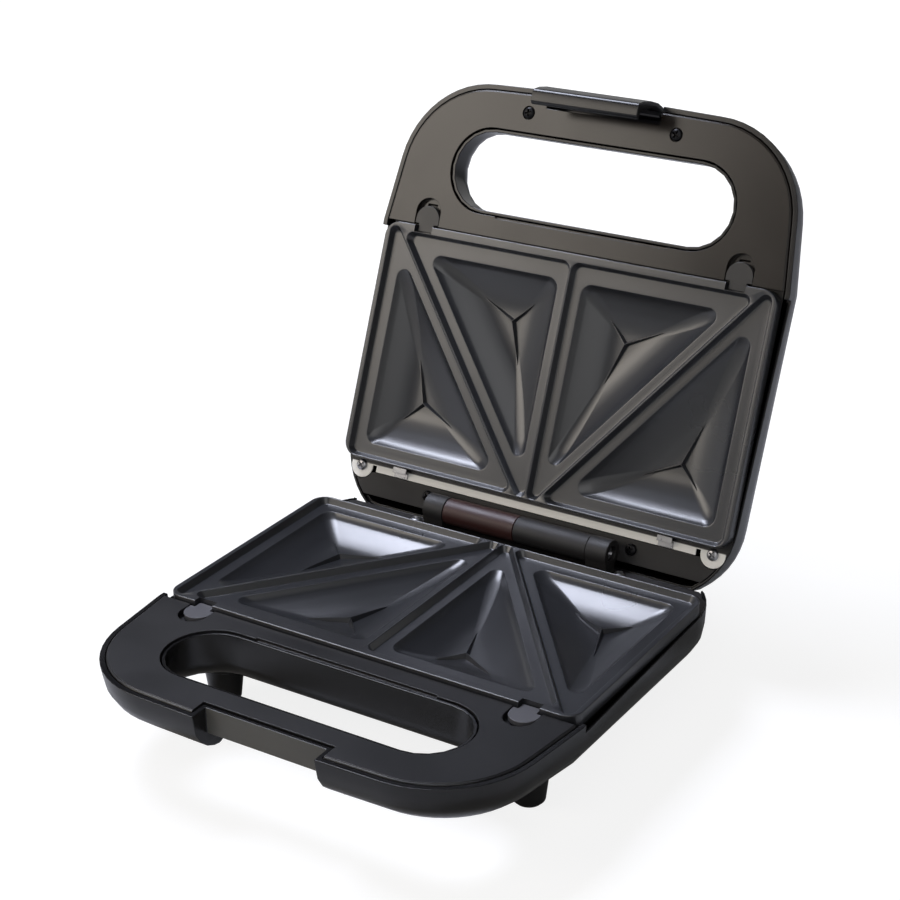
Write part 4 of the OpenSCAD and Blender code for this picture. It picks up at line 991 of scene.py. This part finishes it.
route = [Vector((-LEAD_X, LEAD_Y, element_z - LEAD_DROP)), Vector((-LEAD_X, LEAD_Y, element_z)),
         Vector((-ELEMENT_CORNER_X, element_front, element_z)),
         Vector((ELEMENT_CORNER_X, element_front, element_z)),
         Vector((LEAD_X, LEAD_Y, element_z)), Vector((LEAD_X, LEAD_Y, element_z - LEAD_DROP))]
for half in ("base", "lid"):
    node = half + "_element"
    tube = bmesh.new()
    tube.from_mesh(grow(node, tube_tree, chain_mesh([HALF[half] @ p for p in route], node), {
        "Tube radius": ELEMENT_R * MM, "Bend radius": BEND_R * MM,
        "Material": finish["heat_tinted_steel"]}))
    for end in (route[0], route[-1]):
        pin = bmesh.new()
        lathe(pin, PIN_PROFILE, 16)
        tube.from_mesh(mesh_from(pin, "lead_pin", HALF[half] @ Matrix.Translation(end)))
    piece = register("bent_" + node, mesh_from(tube, node), node, "heat_tinted_steel", sharp_deg=40)
    print(piece.name, len(piece.data.polygons), "faces")
bpy.data.objects.remove(head_object)

# %% [markdown]
# ## Floor, light and background
# A pale matt table carries a light shadow. The pockets of the plates mirror one soft box that hangs
# above, and the tilted lid mirrors a second, which stands at the left front. A third is large and
# weak and lifts the shadows. The world is white to the camera. To everything else it is a pale
# wall near the horizon and dark above, which keeps the black housings black. The table, too, is
# dimmer to everything but the camera, and to the camera it fades to white in the distance.

# %% Floor
TABLE = 6.0                            # half its width, in metres
FADE_FROM, FADE_TO = 0.35, 1.1         # metres from the middle, between which it turns white
NEAR_GLOW = 0.84
floor_mesh = bpy.data.meshes.new("table")
floor_mesh.from_pydata([(-TABLE, -TABLE, 0), (TABLE, -TABLE, 0), (TABLE, TABLE, 0), (-TABLE, TABLE, 0)],
                       [], [(0, 1, 2, 3)])
floor = linked("table", floor_mesh)
table_paint = bpy.data.materials.new("matt_white_table")
table_paint.use_nodes = True
paint = table_paint.node_tree
paint.nodes.clear()
rays = add(paint, "ShaderNodeLightPath")
matt = add(paint, "ShaderNodeBsdfDiffuse", {"Color": linear("#c8c8c8")})
faint = add(paint, "ShaderNodeBsdfDiffuse", {"Color": linear("#8c8c8c")})
reach = add(paint, "ShaderNodeVectorMath", None,
            {0: add(paint, "ShaderNodeNewGeometry").outputs["Position"]}, operation="LENGTH")
rise = add(paint, "ShaderNodeMapRange",
           {"From Min": FADE_FROM, "From Max": FADE_TO, "To Min": NEAR_GLOW, "To Max": 1.0},
           {"Value": reach.outputs["Value"]})
glow = add(paint, "ShaderNodeEmission", {"Color": (1, 1, 1, 1)}, {"Strength": rise.outputs["Result"]})
lift = add(paint, "ShaderNodeAddShader", None, {0: faint.outputs[0], 1: glow.outputs[0]})
mixed = add(paint, "ShaderNodeMixShader", None,
            {0: rays.outputs["Is Camera Ray"], 1: matt.outputs[0], 2: lift.outputs[0]})
add(paint, "ShaderNodeOutputMaterial", None, {"Surface": mixed.outputs[0]})
floor_mesh.materials.append(table_paint)
print("table", 2 * TABLE, "m wide, white from", FADE_TO, "m out")

# %% World
WALL_LOW, WALL_HIGH = 0.16, 0.34       # heights of the direction, between which the wall ends
WALL_LIGHT, ABOVE_LIGHT = 0.55, 0.04
world = bpy.data.worlds.new("studio")
bpy.context.scene.world = world
world.use_nodes = True
sky = world.node_tree
sky.nodes.clear()
rays = add(sky, "ShaderNodeLightPath")
heading = add(sky, "ShaderNodeTexCoord").outputs["Generated"]
height = add(sky, "ShaderNodeSeparateXYZ", None, {"Vector": heading}).outputs["Z"]
wall = add(sky, "ShaderNodeMapRange",
           {"From Min": WALL_LOW, "From Max": WALL_HIGH, "To Min": WALL_LIGHT, "To Max": ABOVE_LIGHT},
           {"Value": height}, interpolation_type="SMOOTHSTEP")
room = add(sky, "ShaderNodeBackground", {"Color": linear("#ffffff")},
           {"Strength": wall.outputs["Result"]})
white = add(sky, "ShaderNodeBackground", {"Color": linear("#ffffff"), "Strength": 1.0})
both = add(sky, "ShaderNodeMixShader", None,
           {0: rays.outputs["Is Camera Ray"], 1: room.outputs[0], 2: white.outputs[0]})
add(sky, "ShaderNodeOutputWorld", None, {"Surface": both.outputs[0]})
print("wall light", WALL_LIGHT, "light above", ABOVE_LIGHT)


# %% Lamps
def soft_box(name, place, aim, width, height, power, colour):
    lamp = bpy.data.lights.new(name, "AREA")
    lamp.shape, lamp.size, lamp.size_y, lamp.energy = "RECTANGLE", width, height, power
    lamp.color = linear(colour)[:3]
    holder = linked(name, lamp)
    holder.location = place
    holder.rotation_euler = (Vector(aim) - Vector(place)).to_track_quat("-Z", "Y").to_euler()


# Name, place, aim, width, height, watts and colour
LAMPS = [
    ("overhead", (-0.68, 0.14, 1.3), (0, 0.02, 0.05), 0.66, 0.5, 18, "#e8edff"),
    ("front_left", (-1.52, -1.44, 1.18), (0, 0.14, 0.2), 1.4, 0.9, 15, "#fff6ea"),
    ("front_fill", (1.1, -1.9, 2.0), (0, 0, 0.1), 2.4, 2.4, 20, "#ffffff"),
]
for row in LAMPS:
    soft_box(*row)
print("lamps", len(LAMPS))

# %% [markdown]
# ## Close
# The view transform stays plain, so a colour shows as it was written.

# %% View transform
bpy.context.scene.view_settings.view_transform = "Standard"
